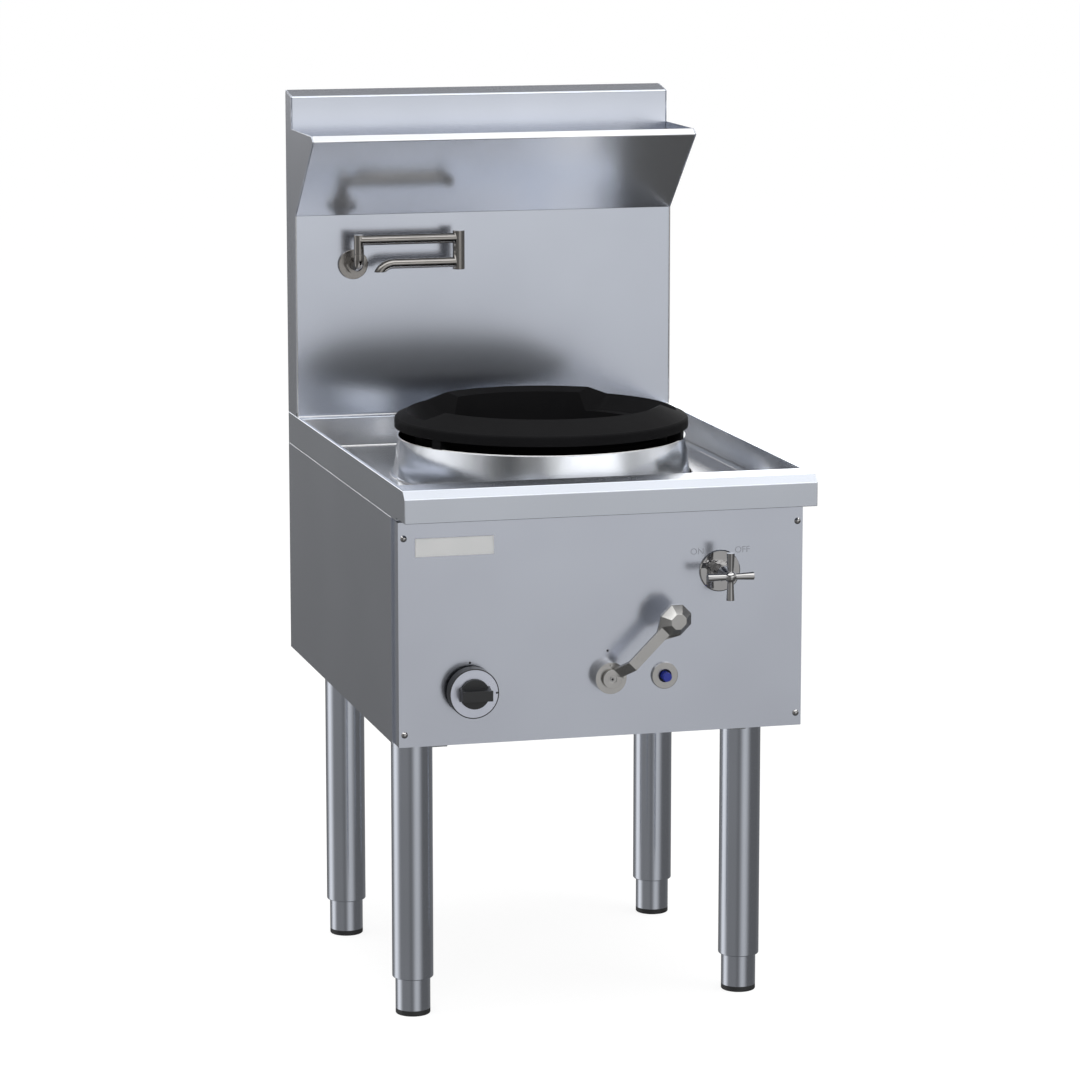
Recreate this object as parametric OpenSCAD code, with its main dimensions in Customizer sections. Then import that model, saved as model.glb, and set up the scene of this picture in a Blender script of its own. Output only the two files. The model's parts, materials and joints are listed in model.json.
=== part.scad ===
// Single-burner wok range with splashback, chimney, lift-off wok ring and swing faucet.
// Millimetres. +Z up, +X right, -Y front. Inside the modules y is measured back from the
// front lip of the hob, and in_frame() moves the whole range over its origin.

/* [Overall] */
// Width over the side panels
range_w = 600; // [560:10:760]
// Depth from the hob's front lip to the back
range_d = 800; // [780:10:900]
// Height of the hob rim above the floor
hob_h = 800; // [760:10:860]
// Height of the splashback above the hob rim
splash_h = 500; // [480:10:600]

/* [Cabinet] */
// Height of the cabinet's sheet sides
cab_h = 324.5; // [318:0.5:334]
// Front lip of the hob to the front edge of the side panels
cab_setback = 87; // [80:1:100]
// Front lip of the hob to the face of the front panel
panel_setback = 56; // [50:1:66]
// Sheet thickness
sheet_t = 1.5; // [1:0.1:2]
// Inward flange along the side panels' edges
flange_w = 15; // [12:1:20]
// Gap between the front panel's edge and the outside of the cabinet
panel_margin = 3; // [2:0.5:6]
// Depth of the front panel's top and bottom returns
panel_return_d = 20; // [12:1:28]
// Panel screw centres in from the side of the cabinet
screw_inset = 11; // [9:0.5:13]
// Panel screw centres above the panel's bottom edge
screw_low = 18; // [14:1:30]
// Panel screw centres below the panel's top edge
screw_high = 23; // [14:1:30]
// Panel screw shank radius
screw_r = 2; // [1.5:0.1:2.5]
// Panel screw head radius
screw_head_r = 4.9; // [4:0.1:5.5]

/* [Hob] */
// Depth of the hob's skirt on the sides
skirt_h = 49; // [47:1:56]
// Depth of the hob's front apron
apron_h = 45; // [38:1:48]
// Flat top of the front lip, front to back
lip_w = 51; // [40:1:60]
// Bevel of the front lip, front to back
bevel_w = 12; // [6:1:16]
// Bevel of the front lip, height
bevel_h = 11; // [6:1:16]
// Folded rim along the sides
rim_w = 5; // [4:0.5:8]
// Depth of the sunken well
well_depth = 45; // [38:1:47]
// Sloping strip at the well's sides, width
fall_w = 18; // [10:1:24]
// Sloping strip at the well's sides, height
fall_h = 4.5; // [2:0.5:7]
// Ledge between the well and the splashback
ledge_w = 20; // [10:1:26]
// Hob sheet thickness
hob_t = 2; // [1.5:0.1:3]

/* [Splashback] */
// Depth of the splashback box
box_d = 65; // [60:1:80]
// Depth of the riser above the shelf
riser_d = 42; // [34:1:52]
// Bottom of the sloping deflector above the hob rim
deflector_z = 311; // [290:1:330]
// Top edge of the shelf above the hob rim
shelf_z = 443; // [425:1:455]
// Reach of the deflector's nose in front of the splash panel
nose_reach = 138; // [110:1:150]
// Rolled nose, front to back
nose_w = 12; // [8:1:16]
// Rolled nose, height
nose_h = 8; // [5:1:10]
// Fall of the cap from back to front
cap_fall = 8; // [4:1:14]

/* [Chimney and ring] */
// Burner centre behind the middle of the well
burner_back = 6; // [1:1:11]
// Chimney radius at its rim
chimney_rim_r = 213; // [208:1:216]
// Chimney radius at its foot
chimney_base_r = 221; // [218:1:224]
// Chimney height above the well's floor
chimney_h = 57; // [50:1:64]
// Radius of the firebox inside the chimney
firebox_r = 187.5; // [180:0.5:190]
// Depth of the firebox below its rim
firebox_h = 135; // [120:1:150]
// Outer radius of the wok ring
ring_r = 218; // [216:1:222]
// Open gap between the chimney rim and the ring
ring_gap = 14; // [10:1:18]
// Height of the ring's upright outer edge
ring_edge_h = 11; // [8:1:14]
// Height of the ring's ridge above its underside
ridge_h = 34; // [30:1:40]
// Radius of the ring's ridge
ridge_r = 178; // [174:1:182]
// Radius of the wok seat's inner edge
seat_r = 163; // [158:1:167]
// Drop of the seat from ridge to inner edge
seat_drop = 7; // [4:1:10]
// Radius at which the side scoops start
scoop_r = 200; // [196:1:204]
// Height of the scoops' outer edge above the ring's underside
scoop_h = 22; // [19:1:25]
// Half width of a scoop at its outer edge
scoop_half_w = 104; // [90:1:110]
// Turn of the scoops towards the back
scoop_angle = 14; // [8:1:20]
// Width of a ring lug
lug_w = 18; // [12:1:24]

/* [Legs and feet] */
// Leg tube radius
leg_r = 30; // [27:0.5:33]
// Leg centres in from the side of the cabinet
leg_inset = 52; // [50:1:60]
// Front leg centres behind the front lip
leg_front_y = 189; // [160:1:210]
// Rear leg centres in front of the back
leg_rear_in = 156.5; // [120:0.5:200]
// Bottom of the leg tubes above the floor
leg_clear = 55; // [45:1:65]
// Foot sleeve radius
foot_r = 25.4; // [22:0.2:26]
// Height of the foot's black end cap
cap_h = 8; // [6:0.5:12]

/* [Controls] */
// Gas knob, across
knob_x = -194; // [-205:1:-180]
// Gas knob, height below the hob rim
knob_drop = 296; // [280:1:305]
// Gas knob radius
knob_r = 35.75; // [30:0.25:38]
// Lever valve, across
lever_x = 7.5; // [0:0.5:15]
// Lever valve, height below the hob rim
lever_drop = 286; // [275:1:290]
// Lever length from its axis to the head's centre
lever_l = 121.5; // [110:0.5:130]
// Lever bar width
lever_w = 16; // [12:1:20]
// Igniter, across
igniter_x = 91.5; // [85:0.5:100]
// Igniter, height below the hob rim
igniter_drop = 289.5; // [280:0.5:300]
// Igniter button radius
button_r = 6.7; // [5:0.1:7.2]
// Water tap, across
tap_x = 173; // [165:1:185]
// Water tap, height below the hob rim
tap_drop = 141.5; // [130:0.5:150]
// Length of a cross handle arm from its axis
tap_arm_l = 34; // [30:1:38]

/* [Faucet] */
// Faucet riser, in from the left side
faucet_side = 90; // [80:1:100]
// Faucet flange centre above the hob rim
faucet_z = 235; // [220:1:240]
// Riser axis in front of the splash panel
faucet_reach = 45; // [40:1:55]
// Faucet tube radius
faucet_r = 7.7; // [7:0.1:9]
// Top of the riser above the flange centre
riser_up = 49.5; // [46:0.5:54]
// Distance from the riser to the elbow hinge
arm_l = 157; // [140:1:180]
// Elbow hinge radius
hinge_r = 9.2; // [8.6:0.1:12]
// Distance from the elbow hinge to the middle of the spout's mouth
spout_l = 124.5; // [112:0.5:130]
// Turn of the spout's mouth below the horizontal
spout_turn = 60; // [40:1:80]

/* [Hidden] */
$fn = 64;

// Clearances and overruns
over = 1;              // how far a cutting shape runs past the solid
seat_gap = 0.3;        // gap under a piece that lifts or turns
fit_gap = 0.05;        // radial running fit of a shaft in its bore
slip_gap = 0.2;        // gap round a fixed piece in its hole

// Levels and planes
half_w = range_w / 2;
faucet_x = faucet_side - half_w;
well_floor = hob_h - well_depth;
skirt_z = hob_h - skirt_h;
apron_z = hob_h - apron_h;
cab_bottom = skirt_z - cab_h;
lip_back = bevel_w + lip_w;
splash_y = range_d - box_d;
riser_y = range_d - riser_d;
well_back = splash_y - ledge_w;
burner_y = (lip_back + well_back) / 2 + burner_back;
leg_rear_y = range_d - leg_rear_in;
well_half_w = half_w - rim_w;
inner_half_w = half_w - sheet_t - slip_gap;
panel_half_w = half_w - panel_margin;
panel_top_gap = 3;
panel_top = skirt_z - panel_top_gap;
panel_back = cab_setback - slip_gap;
total_h = hob_h + splash_h;

// Hob details
hem_w = 8;
hem_step = 2;
burner_hole_r = 205;

// Splashback details
corner_notch = 6;
trough_clear = 2;
nose_tuck = 10;

// Chimney and firebox
chimney_t = 1.5;
foot_flange_w = 3;
foot_flange_t = 2;
bead_r = 1.6;
chimney_rim_z = well_floor + chimney_h;
firebox_rise = 3;
firebox_top = chimney_rim_z + firebox_rise;
firebox_bottom = firebox_top - firebox_h;
firebox_t = 1.5;
firebox_flange_w = 24;
firebox_hole_r = 112;
strap_w = 30;
strap_t = 4;
strap_ring_r = 40;

// Burner
head_r = 86;
head_h = 26;
head_z = firebox_bottom + strap_t + seat_gap;
jet_r = 7;
jet_bore_r = 3;
jet_h = 16;
jet_pitch_share = 0.36;
jet_ring_counts = [6, 12];
venturi_r = 24;
venturi_t = 3;
venturi_drop = 46;
venturi_z = head_z - venturi_drop;
venturi_bend = 30;
mouth_r = 34;
mouth_l = 22;

// Wok ring
ring_z = chimney_rim_z + ring_gap;
ring_round = 5;
ring_wall_lean = 2;
ring_skirt_h = 18;
ring_skirt_t = 5;
scoop_side_share = 0.36;
scoop_reach = 70;
lug_h = ring_gap - seat_gap;
lug_in_r = 197;
lug_out_r = 215;
lug_step_r = 208;
lug_step_h = 8;
lug_angles = [90, 210, 330];

// Base frame and leg sockets
rail_w = 100;
rail_t = 3;
rail_lip_h = 20;
cross_w = 44;
plate_w = 72;
plate_l = 84;
plate_t = 4;
socket_h = 40;
socket_wall = 3;
bolt_x = 28;
bolt_y = 33;
bolt_r = 3;
bolt_head_r = 5.5;
bolt_head_h = 4;
bolt_out = 12;
hook_w = 22;
hook_l = 3;
hook_h = 18;
hook_y = 70;
block_w = 22;
block_l = 26;
block_h = 16;

// Legs and feet
leg_t = 1.5;
leg_round = 2;
bush_h = 30;
foot_t = 2;
foot_up = 60;
cap_spigot_h = 12;
cap_round = 2;

// Knob
knob_z = hob_h - knob_drop;
knob_gap = 7;
knob_d = 19;
knob_ring_in_r = 21.5;
knob_ring_margin = 1.4;
knob_ring_t = 0.8;
boss_rise = 5;
grip_rise = 21;
grip_left = 21.5;
grip_right = 22;
grip_base_w = 21;
grip_top_w = 15;
grip_waist_w = 13.5;
spindle_r = 4;
spindle_back = 34;
spindle_room = 8;
knob_bore_d = 23;
panel_dot_r = 1.6;
knob_dot_up = 39.5;
lever_dot_up = 36.5;

// Valves behind the panel
valve_gap = 0.5;
pilot_valve_r = 17;
pilot_valve_l = 50;
pilot_neck_r = 9;
pilot_neck_l = 8;
pilot_valve_back = panel_setback + sheet_t + valve_gap + pilot_neck_l + pilot_valve_l;
manifold_r = 12.7;
manifold_y = 112;
manifold_drop = 330;
manifold_z = hob_h - manifold_drop;
manifold_bend = 34;
tee_r = 11;
tee_h = 15.5;
tee_top = manifold_z + tee_h;
inlet_side = 68;
inlet_x = half_w - inlet_side;
inlet_back = 58;
inlet_y = range_d - inlet_back;
inlet_l = 18;
thread_relief = 2;
inlet_nut_h = 5.8;
inlet_nut_z = cab_bottom + sheet_t - slip_gap - inlet_nut_h;
inlet_z = inlet_nut_z - thread_relief - inlet_l;
gas_inlet_r = 13.3;
gas_nut_r = 20;
gas_bore_r = 10;
main_valve_w = 52;
main_valve_l = 50;
main_valve_h = 40;
neck_l = 14;
stem_in = 44;
neck_r = 13.5;
stem_r = 6;
outlet_boss_r = 11;
outlet_boss_l = 8;
valve_out_y = panel_setback + sheet_t + valve_gap + neck_l + main_valve_l + outlet_boss_l;
gas_pipe_r = 8;
gas_pipe_bend = 18;
gas_rise_y = valve_out_y + 2 * gas_pipe_bend;
injector_af_r = 11;
injector_l = 14;
injector_tip_r = 4;
injector_tip_l = 12;
injector_hole_r = 1;
injector_gap = 6;
injector_run = 19;
injector_y = gas_rise_y + injector_run;
venturi_mouth_y = injector_y + injector_l + injector_gap;

// Pilot and spark electrode
pilot_x = -58;
pilot_forward = 78;
pilot_y = burner_y - pilot_forward;
pilot_tube_r = 3;
pilot_bend = 14;
pilot_run_y = 142;
pilot_cross_drop = 222;
pilot_jet_r = 6;
pilot_jet_h = 26;
probe_r = 2.5;
probe_h = 36;
probe_off = 13;
pilot_plate_t = 2;
electrode_r = 1.6;
insulator_r = 4.5;
insulator_h = 30;
electrode_h = 44;
lead_r = 2.2;
lead_bend = 14;

// Lever
lever_z = hob_h - lever_drop;
collar_r = 22.75;
collar_d = 19;
hub_r = 13.5;
hub_t = 7.4;
crank_gap = 0.5;
crank_l = 20;
crank_start = hub_r + crank_gap;
crank_end = crank_start + crank_l;
crank_rise = 25.3;
lever_t = 5;
head_len = 44;
head_wid = 40;
head_back = 8;
head_front = 14;
head_corner = 11;
head_face_share = 0.5;
head_waist_share = 0.96;
head_flare_l = 9;
lever_rest_angle = 45;
lever_screw_r = 3.6;
lever_screw_h = 1.2;
lever_recess_r = 6.4;
lever_recess_d = 1.5;
lever_hole_r = 2.2;
lever_hole_d = 12;
stop_pin_r = 1.5;
stop_pin_h = 2;
stop_pin_at = 18.5;
lever_mark_r = 4;
lever_mark_h = 0.4;
lever_mark_at = 46;

// Igniter
igniter_z = hob_h - igniter_drop;
igniter_flange_r = 19.25;
igniter_flange_t = 4.5;
igniter_hole_r = 9;
igniter_body_r = 12;
igniter_body_l = 48;
igniter_back = panel_setback + igniter_body_l;
igniter_neck_r = 8.8;
button_out = 17;
button_in = 22;
button_travel = 6;
igniter_wall = 1.6;

// Tap
tap_z = hob_h - tap_drop;
tap_flange_r = 30.25;
tap_flange_t = 3;
tap_collar_w = 3;
tap_collar_h = 3;
bonnet_r = 12;
bonnet_l = 24;
bonnet_nut_r = 14;
bonnet_nut_l = 7;
tap_stem_r = 5;
tap_stem_in = 20;
tap_out = 52;
tap_hub_r = 8.5;
tap_arm_in_r = 4;
tap_arm_out_r = 5.8;
faucet_tail = 15;
water_valve_r = 16;
water_valve_l = 46;
water_pipe_r = 7.5;
water_bend = 15;
water_inlet_r = 10.5;
water_neck_r = 9.5;
water_neck_l = 36;
water_nut_r = 16.5;
water_boss_r = 10;
water_boss_l = 26;
water_run_y = 92;
water_cross_drop = 206;
water_side = 38;
water_side_drop = 88;
water_back = 32;
water_back_y = range_d - water_back;
water_pipe_end = faucet_tail + slip_gap;

// Faucet
faucet_flange_r = 23;
faucet_flange_t = 5;
faucet_nut_r = 13.6;
faucet_nut_l = 12;
faucet_bend = 13;
collar_up = 20;
spigot_r = 5;
spigot_l = 22;
arm_drop = 8.5;
hinge_up = 3;
hinge_h = 59.5;
hinge_pin_r = 6;
hinge_pin_l = 22;
spout_axis_up = 11;
spout_fall = 12.3;

// Drain
drain_side = 125;
drain_back = 48;
drain_x = half_w - drain_side;
drain_y = well_back - drain_back;
drain_hole_r = 22;
drain_flange_r = 30;
drain_flange_t = 2;
drain_cup_t = 2;
drain_cup_h = 14;
drain_pipe_r = 16;
drain_pipe_t = 2;
drain_body_r = 17.5;
drain_relief_d = 0.5;
drain_spigot_l = 32;
drain_cup_r = drain_hole_r - slip_gap - drain_cup_t;
strainer_t = 2;
strainer_hole_r = 2;
strainer_ring_r = 13;
strainer_holes = 8;
strainer_knob_r = 4;
strainer_knob_h = 7;

// Badge plate
badge_inset = 27.5;
badge_left = -half_w + badge_inset;
badge_w = 113.5;
badge_h = 26.5;
badge_bottom_drop = 102;
badge_t = 1;
badge_rim = 1.5;
badge_sink = 0.4;

// Foremost point of the controls, so that the origin can sit under the middle of the range
lever_front = panel_setback - collar_d - seat_gap - hub_t - crank_rise - head_front;
tap_front = panel_setback - tap_out - tap_hub_r;
knob_front = panel_setback - knob_gap - knob_d - grip_rise;
front_most = min(0, lever_front, tap_front, knob_front);
centre_y = (range_d + front_most) / 2;

leg_x = half_w - leg_inset;
leg_places = [[-leg_x, leg_front_y], [leg_x, leg_front_y], [-leg_x, leg_rear_y],
    [leg_x, leg_rear_y]];
screw_places = [for (x = [-1, 1], z = [cab_bottom + screw_low, panel_top - screw_high])
    [x * (half_w - screw_inset), z]];

steel = "#b4b7bc";
steel_dark = "#8f9297";
iron = "#242424";
chrome = "#d3d5d8";
zinc = "#c2c4c2";
bronze = "#7a6358";
brass = "#b8953f";
copper = "#b06a3e";
black = "#2b2c2d";
blue = "#1f2e93";
galvanised = "#a5aaad";
white = "#e6e4dc";

module in_frame() {
    translate([0, -centre_y, 0]) children();
}

// A local frame on the front panel: x across, y up, z out towards the user
module at_panel(x, z) {
    translate([x, panel_setback, z]) rotate([90, 0, 0]) children();
}

// The same on the splash panel
module at_splash(x, z) {
    translate([x, splash_y, z]) rotate([90, 0, 0]) children();
}

// A profile in y and z, drawn across the range between two x values
module across(x0, x1) {
    translate([x0, 0, 0]) rotate([90, 0, 90]) linear_extrude(x1 - x0) children();
}

function unit(v) = v / norm(v);

// A frame whose z axis points along u
function basis(u) = let (
        h = abs(u[2]) < 0.9 ? [0, 0, 1] : [1, 0, 0],
        x = unit(cross(h, u)),
        y = cross(u, x)
    ) [[x[0], y[0], u[0], 0], [x[1], y[1], u[1], 0], [x[2], y[2], u[2], 0], [0, 0, 0, 1]];

module rod(a, b, r) {
    translate(a) multmatrix(basis(unit(b - a))) cylinder(r = r, h = norm(b - a));
}

// One bend of a tube at corner p, coming in along a and leaving along b
module tube_bend(p, a, b, r, bend) {
    turn = acos(a * b);
    n = unit(b - (a * b) * a);
    c = p - bend * tan(turn / 2) * a + bend * n;
    z = cross(-n, a);
    translate(c)
        multmatrix([[-n[0], a[0], z[0], 0], [-n[1], a[1], z[1], 0], [-n[2], a[2], z[2], 0],
                    [0, 0, 0, 1]])
            rotate_extrude(angle = turn) translate([bend, 0]) circle(r = r);
}

// A round bar along points with rounded corners; ends run on by past
module tube_run(points, r, bend, past = 0) {
    last = len(points) - 1;
    dirs = [for (i = [0 : last - 1]) unit(points[i + 1] - points[i])];
    cuts = [for (i = [0 : last])
        i == 0 || i == last ? -past : bend * tan(acos(dirs[i - 1] * dirs[i]) / 2)];
    for (i = [0 : last - 1])
        rod(points[i] + cuts[i] * dirs[i], points[i + 1] - cuts[i + 1] * dirs[i], r);
    for (i = [1 : 1 : last - 1])
        tube_bend(points[i], dirs[i - 1], dirs[i], r, bend);
}

module pipe(points, r, wall, bend) {
    difference() {
        tube_run(points, r, bend);
        tube_run(points, r - wall, bend, over);
    }
}

// Hob: sunken tray with a bevelled hollow front lip, folded rims and a skirt
module hob_top() {
    low = skirt_z;
    inner_low = well_floor - hob_t;
    slack = hob_t;
    color(steel) difference() {
        union() {
            // tray between the front lip and the rear ledge
            translate([0, well_back, 0]) rotate([90, 0, 0]) linear_extrude(well_back - lip_back)
                polygon([
                    [-half_w, low], [-half_w, hob_h], [-well_half_w, hob_h],
                    [-well_half_w, well_floor + fall_h], [-well_half_w + fall_w, well_floor],
                    [well_half_w - fall_w, well_floor], [well_half_w, well_floor + fall_h],
                    [well_half_w, hob_h], [half_w, hob_h], [half_w, low], [well_half_w, low],
                    [well_half_w, well_floor + fall_h - hob_t],
                    [well_half_w - fall_w, inner_low], [-well_half_w + fall_w, inner_low],
                    [-well_half_w, well_floor + fall_h - hob_t], [-well_half_w, low]
                ]);
            // front lip
            across(-half_w, half_w) polygon([
                [0, apron_z], [0, hob_h - bevel_h], [bevel_w, hob_h], [lip_back, hob_h],
                [lip_back, inner_low], [lip_back - slack, inner_low],
                [lip_back - slack, hob_h - slack], [bevel_w + slack / 2, hob_h - slack],
                [slack, hob_h - bevel_h - slack / 2], [slack, apron_z + hem_step],
                [hem_w, apron_z + hem_step], [hem_w, apron_z]
            ]);
            // closed ends of the lip
            for (x = [-half_w, half_w - rim_w])
                across(x, x + rim_w) polygon([
                    [0, apron_z], [0, hob_h - bevel_h], [bevel_w, hob_h], [lip_back, hob_h],
                    [lip_back, low], [panel_setback, low], [panel_setback, apron_z]
                ]);
            // rear ledge, back wall and rear skirt
            translate([-half_w, well_back, hob_h - hob_t])
                cube([range_w, range_d - well_back, hob_t]);
            translate([-half_w, well_back, inner_low]) cube([range_w, hob_t, well_depth + hob_t]);
            translate([-half_w, range_d - hob_t, low]) cube([range_w, hob_t, skirt_h]);
            for (x = [-half_w, half_w - rim_w])
                translate([x, well_back, low]) cube([rim_w, range_d - well_back, skirt_h]);
        }
        translate([0, burner_y, inner_low - over])
            cylinder(r = burner_hole_r, h = hob_t + 2 * over);
        translate([drain_x, drain_y, inner_low - over])
            cylinder(r = drain_hole_r, h = hob_t + 2 * over);
        translate([faucet_x, water_back_y, hob_h - hob_t - over])
            cylinder(r = water_pipe_r + slip_gap, h = hob_t + 2 * over);
    }
}

// Side sheet with inward flanges at its front, bottom and top edges
module side_panel(side) {
    depth = range_d - cab_setback;
    x0 = side < 0 ? -half_w : half_w - sheet_t;
    fx = side < 0 ? -half_w : half_w - flange_w;
    color(steel) difference() {
        union() {
            translate([x0, cab_setback, cab_bottom]) cube([sheet_t, depth, cab_h]);
            translate([fx, cab_setback, cab_bottom]) cube([flange_w, sheet_t, cab_h]);
            translate([fx, cab_setback, cab_bottom]) cube([flange_w, depth, sheet_t]);
        }
        for (z = [cab_bottom + screw_low, panel_top - screw_high])
            translate([side * (half_w - screw_inset), cab_setback + sheet_t + over, z])
                rotate([90, 0, 0]) cylinder(r = screw_r + slip_gap, h = sheet_t + 2 * over);
    }
}

module side_panel_left() {
    side_panel(-1);
}

module side_panel_right() {
    side_panel(1);
}

module rear_panel() {
    color(galvanised)
        translate([-inner_half_w, range_d - sheet_t, cab_bottom + sheet_t + slip_gap])
            cube([2 * inner_half_w, sheet_t, cab_h - sheet_t - slip_gap]);
}

// Two channel rails over the legs, tied by two cross members
module base_frame() {
    z0 = cab_bottom + sheet_t;
    y0 = cab_setback + sheet_t + slip_gap;
    y1 = range_d - sheet_t - slip_gap;
    color(galvanised) difference() {
        union() {
            for (side = [-1, 1]) {
                x0 = side < 0 ? -inner_half_w : inner_half_w - rail_w;
                translate([x0, y0, z0]) cube([rail_w, y1 - y0, rail_t]);
                for (x = [x0, x0 + rail_w - rail_t])
                    translate([x, y0, z0]) cube([rail_t, y1 - y0, rail_lip_h]);
            }
            for (y = [y0, y1 - cross_w])
                translate([-inner_half_w, y, z0]) cube([2 * inner_half_w, cross_w, rail_t]);
        }
        for (c = leg_places)
            for (sx = [-bolt_x, bolt_x], sy = [-bolt_y, bolt_y])
                translate([c[0] + sx, c[1] + sy, z0 - over])
                    cylinder(r = bolt_r + slip_gap, h = rail_t + 2 * over);
        translate([inlet_x, inlet_y, z0 - over])
            cylinder(r = manifold_r + slip_gap, h = rail_t + 2 * over);
        translate([-inlet_x, inlet_y, z0 - over])
            cylinder(r = water_neck_r + slip_gap, h = rail_t + 2 * over);
    }
}

// Front sheet with returned edges, and holes for the controls
module front_panel() {
    h = panel_top - cab_bottom;
    depth = panel_back - panel_setback;
    color(steel) difference() {
        translate([-panel_half_w, panel_setback, cab_bottom])
            cube([2 * panel_half_w, depth, h]);
        translate([-panel_half_w + sheet_t, panel_setback + sheet_t, cab_bottom + sheet_t])
            cube([2 * (panel_half_w - sheet_t), depth, h - 2 * sheet_t]);
        translate([-panel_half_w + sheet_t, panel_setback + panel_return_d, cab_bottom - over])
            cube([2 * (panel_half_w - sheet_t), depth, h + 2 * over]);
        panel_hole(knob_x, knob_z, spindle_r + over);
        panel_hole(knob_x, knob_z + knob_dot_up, panel_dot_r);
        panel_hole(lever_x, lever_z, neck_r + slip_gap);
        panel_hole(lever_x, lever_z + lever_dot_up, panel_dot_r);
        panel_hole(igniter_x, igniter_z, igniter_neck_r + slip_gap);
        panel_hole(tap_x, tap_z, bonnet_r + slip_gap);
        for (c = screw_places) panel_hole(c[0], c[1], screw_r + slip_gap);
    }
}

module panel_hole(x, z, r) {
    at_panel(x, z) translate([0, 0, -sheet_t - over]) cylinder(r = r, h = sheet_t + 2 * over);
}

// Domed heads outside, shanks back to the side panels' flanges
module panel_screws() {
    shank_l = cab_setback - panel_setback + sheet_t + over;
    head_h = screw_head_r * 0.6;
    sphere_r = (screw_head_r * screw_head_r + head_h * head_h) / (2 * head_h);
    color(chrome) for (c = screw_places) at_panel(c[0], c[1]) {
        translate([0, 0, -shank_l]) cylinder(r = screw_r, h = shank_l + head_h / 2);
        intersection() {
            translate([0, 0, head_h - sphere_r]) sphere(r = sphere_r);
            cylinder(r = screw_head_r, h = head_h);
        }
    }
}

// Blank plate with a raised rim
module badge_plate() {
    color(steel) translate([badge_left, panel_setback - badge_t, hob_h - badge_bottom_drop])
        difference() {
            cube([badge_w, badge_t, badge_h]);
            translate([badge_rim, -over, badge_rim])
                cube([badge_w - 2 * badge_rim, badge_sink + over, badge_h - 2 * badge_rim]);
        }
}

module splash_panel() {
    color(steel) difference() {
        translate([-inner_half_w, splash_y, hob_h]) cube([2 * inner_half_w, sheet_t, deflector_z]);
        at_splash(faucet_x, hob_h + faucet_z) translate([0, 0, -sheet_t - over])
            cylinder(r = faucet_r + slip_gap, h = sheet_t + 2 * over);
    }
}

// End sheet of the splashback box, with the shelf's cheek
module splash_side(side) {
    x0 = side < 0 ? -half_w : half_w - sheet_t;
    color(steel) across(x0, x0 + sheet_t) polygon([
        [splash_y + corner_notch, hob_h], [splash_y + corner_notch, hob_h + corner_notch],
        [splash_y, hob_h + corner_notch], [splash_y, hob_h + deflector_z],
        [splash_y - nose_reach, hob_h + shelf_z - nose_h],
        [splash_y - nose_reach + nose_w, hob_h + shelf_z], [riser_y, hob_h + shelf_z],
        [riser_y, total_h - cap_fall], [range_d, total_h], [range_d, hob_h]
    ]);
}

module splash_side_left() {
    splash_side(-1);
}

module splash_side_right() {
    splash_side(1);
}

module splash_back() {
    color(galvanised) translate([-inner_half_w, range_d - sheet_t, hob_h])
        cube([2 * inner_half_w, sheet_t, splash_h - 2 * sheet_t]);
}

// Riser above the shelf, folded into the sloping cap and into the trough's floor
module splash_riser() {
    t = sheet_t;
    floor_z = hob_h + deflector_z + trough_clear;
    color(steel) across(-inner_half_w, inner_half_w) polygon([
        [splash_y + t, floor_z], [riser_y, floor_z], [riser_y, total_h - cap_fall],
        [range_d, total_h], [range_d, total_h - t], [riser_y + t, total_h - cap_fall - t],
        [riser_y + t, floor_z - t], [splash_y + t, floor_z - t]
    ]);
}

// Sloping sheet under the shelf with a bevelled nose and a tucked edge
module deflector() {
    t = sheet_t;
    run = [nose_reach, shelf_z - nose_h - deflector_z];
    normal = [run[1], run[0]] / norm(run);
    nose_y = splash_y - nose_reach;
    nose_top = hob_h + shelf_z;
    color(steel) across(-inner_half_w, inner_half_w) polygon([
        [splash_y, hob_h + deflector_z], [nose_y, nose_top - nose_h], [nose_y + nose_w, nose_top],
        [nose_y + nose_w + t, nose_top], [nose_y + nose_w + t, nose_top - nose_tuck],
        [nose_y + nose_w, nose_top - nose_tuck], [nose_y + nose_w, nose_top - 2 * t],
        [nose_y + 2 * t, nose_top - nose_h],
        [splash_y + t, hob_h + deflector_z + t * normal[0]]
    ]);
}

// Polished cone with a rolled rim and a foot flange
module chimney() {
    color(chrome) translate([0, burner_y, well_floor]) rotate_extrude($fn = 128) {
        polygon([
            [chimney_base_r + foot_flange_w, 0], [chimney_base_r + foot_flange_w, foot_flange_t],
            [chimney_base_r, foot_flange_t], [chimney_rim_r, chimney_h],
            [chimney_rim_r - chimney_t, chimney_h], [chimney_base_r - chimney_t, 0]
        ]);
        translate([chimney_rim_r - bead_r, chimney_h - bead_r]) circle(r = bead_r, $fn = 24);
    }
}

// Inner drum hung under the hob's floor, with straps that carry the burner
module firebox() {
    flange_z = well_floor - hob_t - firebox_t;
    r = firebox_r;
    t = firebox_t;
    color(steel_dark) translate([0, burner_y, 0]) union() {
        rotate_extrude($fn = 128) polygon([
            [r - t, firebox_top], [r, firebox_top], [r, flange_z + t],
            [r + firebox_flange_w, flange_z + t], [r + firebox_flange_w, flange_z], [r, flange_z],
            [r, firebox_bottom], [firebox_hole_r, firebox_bottom],
            [firebox_hole_r, firebox_bottom + t], [r - t, firebox_bottom + t]
        ]);
        translate([0, 0, firebox_bottom]) difference() {
            union() {
                translate([-firebox_hole_r - strap_w / 2, -strap_w / 2, 0])
                    cube([2 * firebox_hole_r + strap_w, strap_w, strap_t]);
                cylinder(r = strap_ring_r, h = strap_t);
            }
            translate([0, 0, -over]) cylinder(r = venturi_r + slip_gap, h = strap_t + 2 * over);
        }
    }
}

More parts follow.
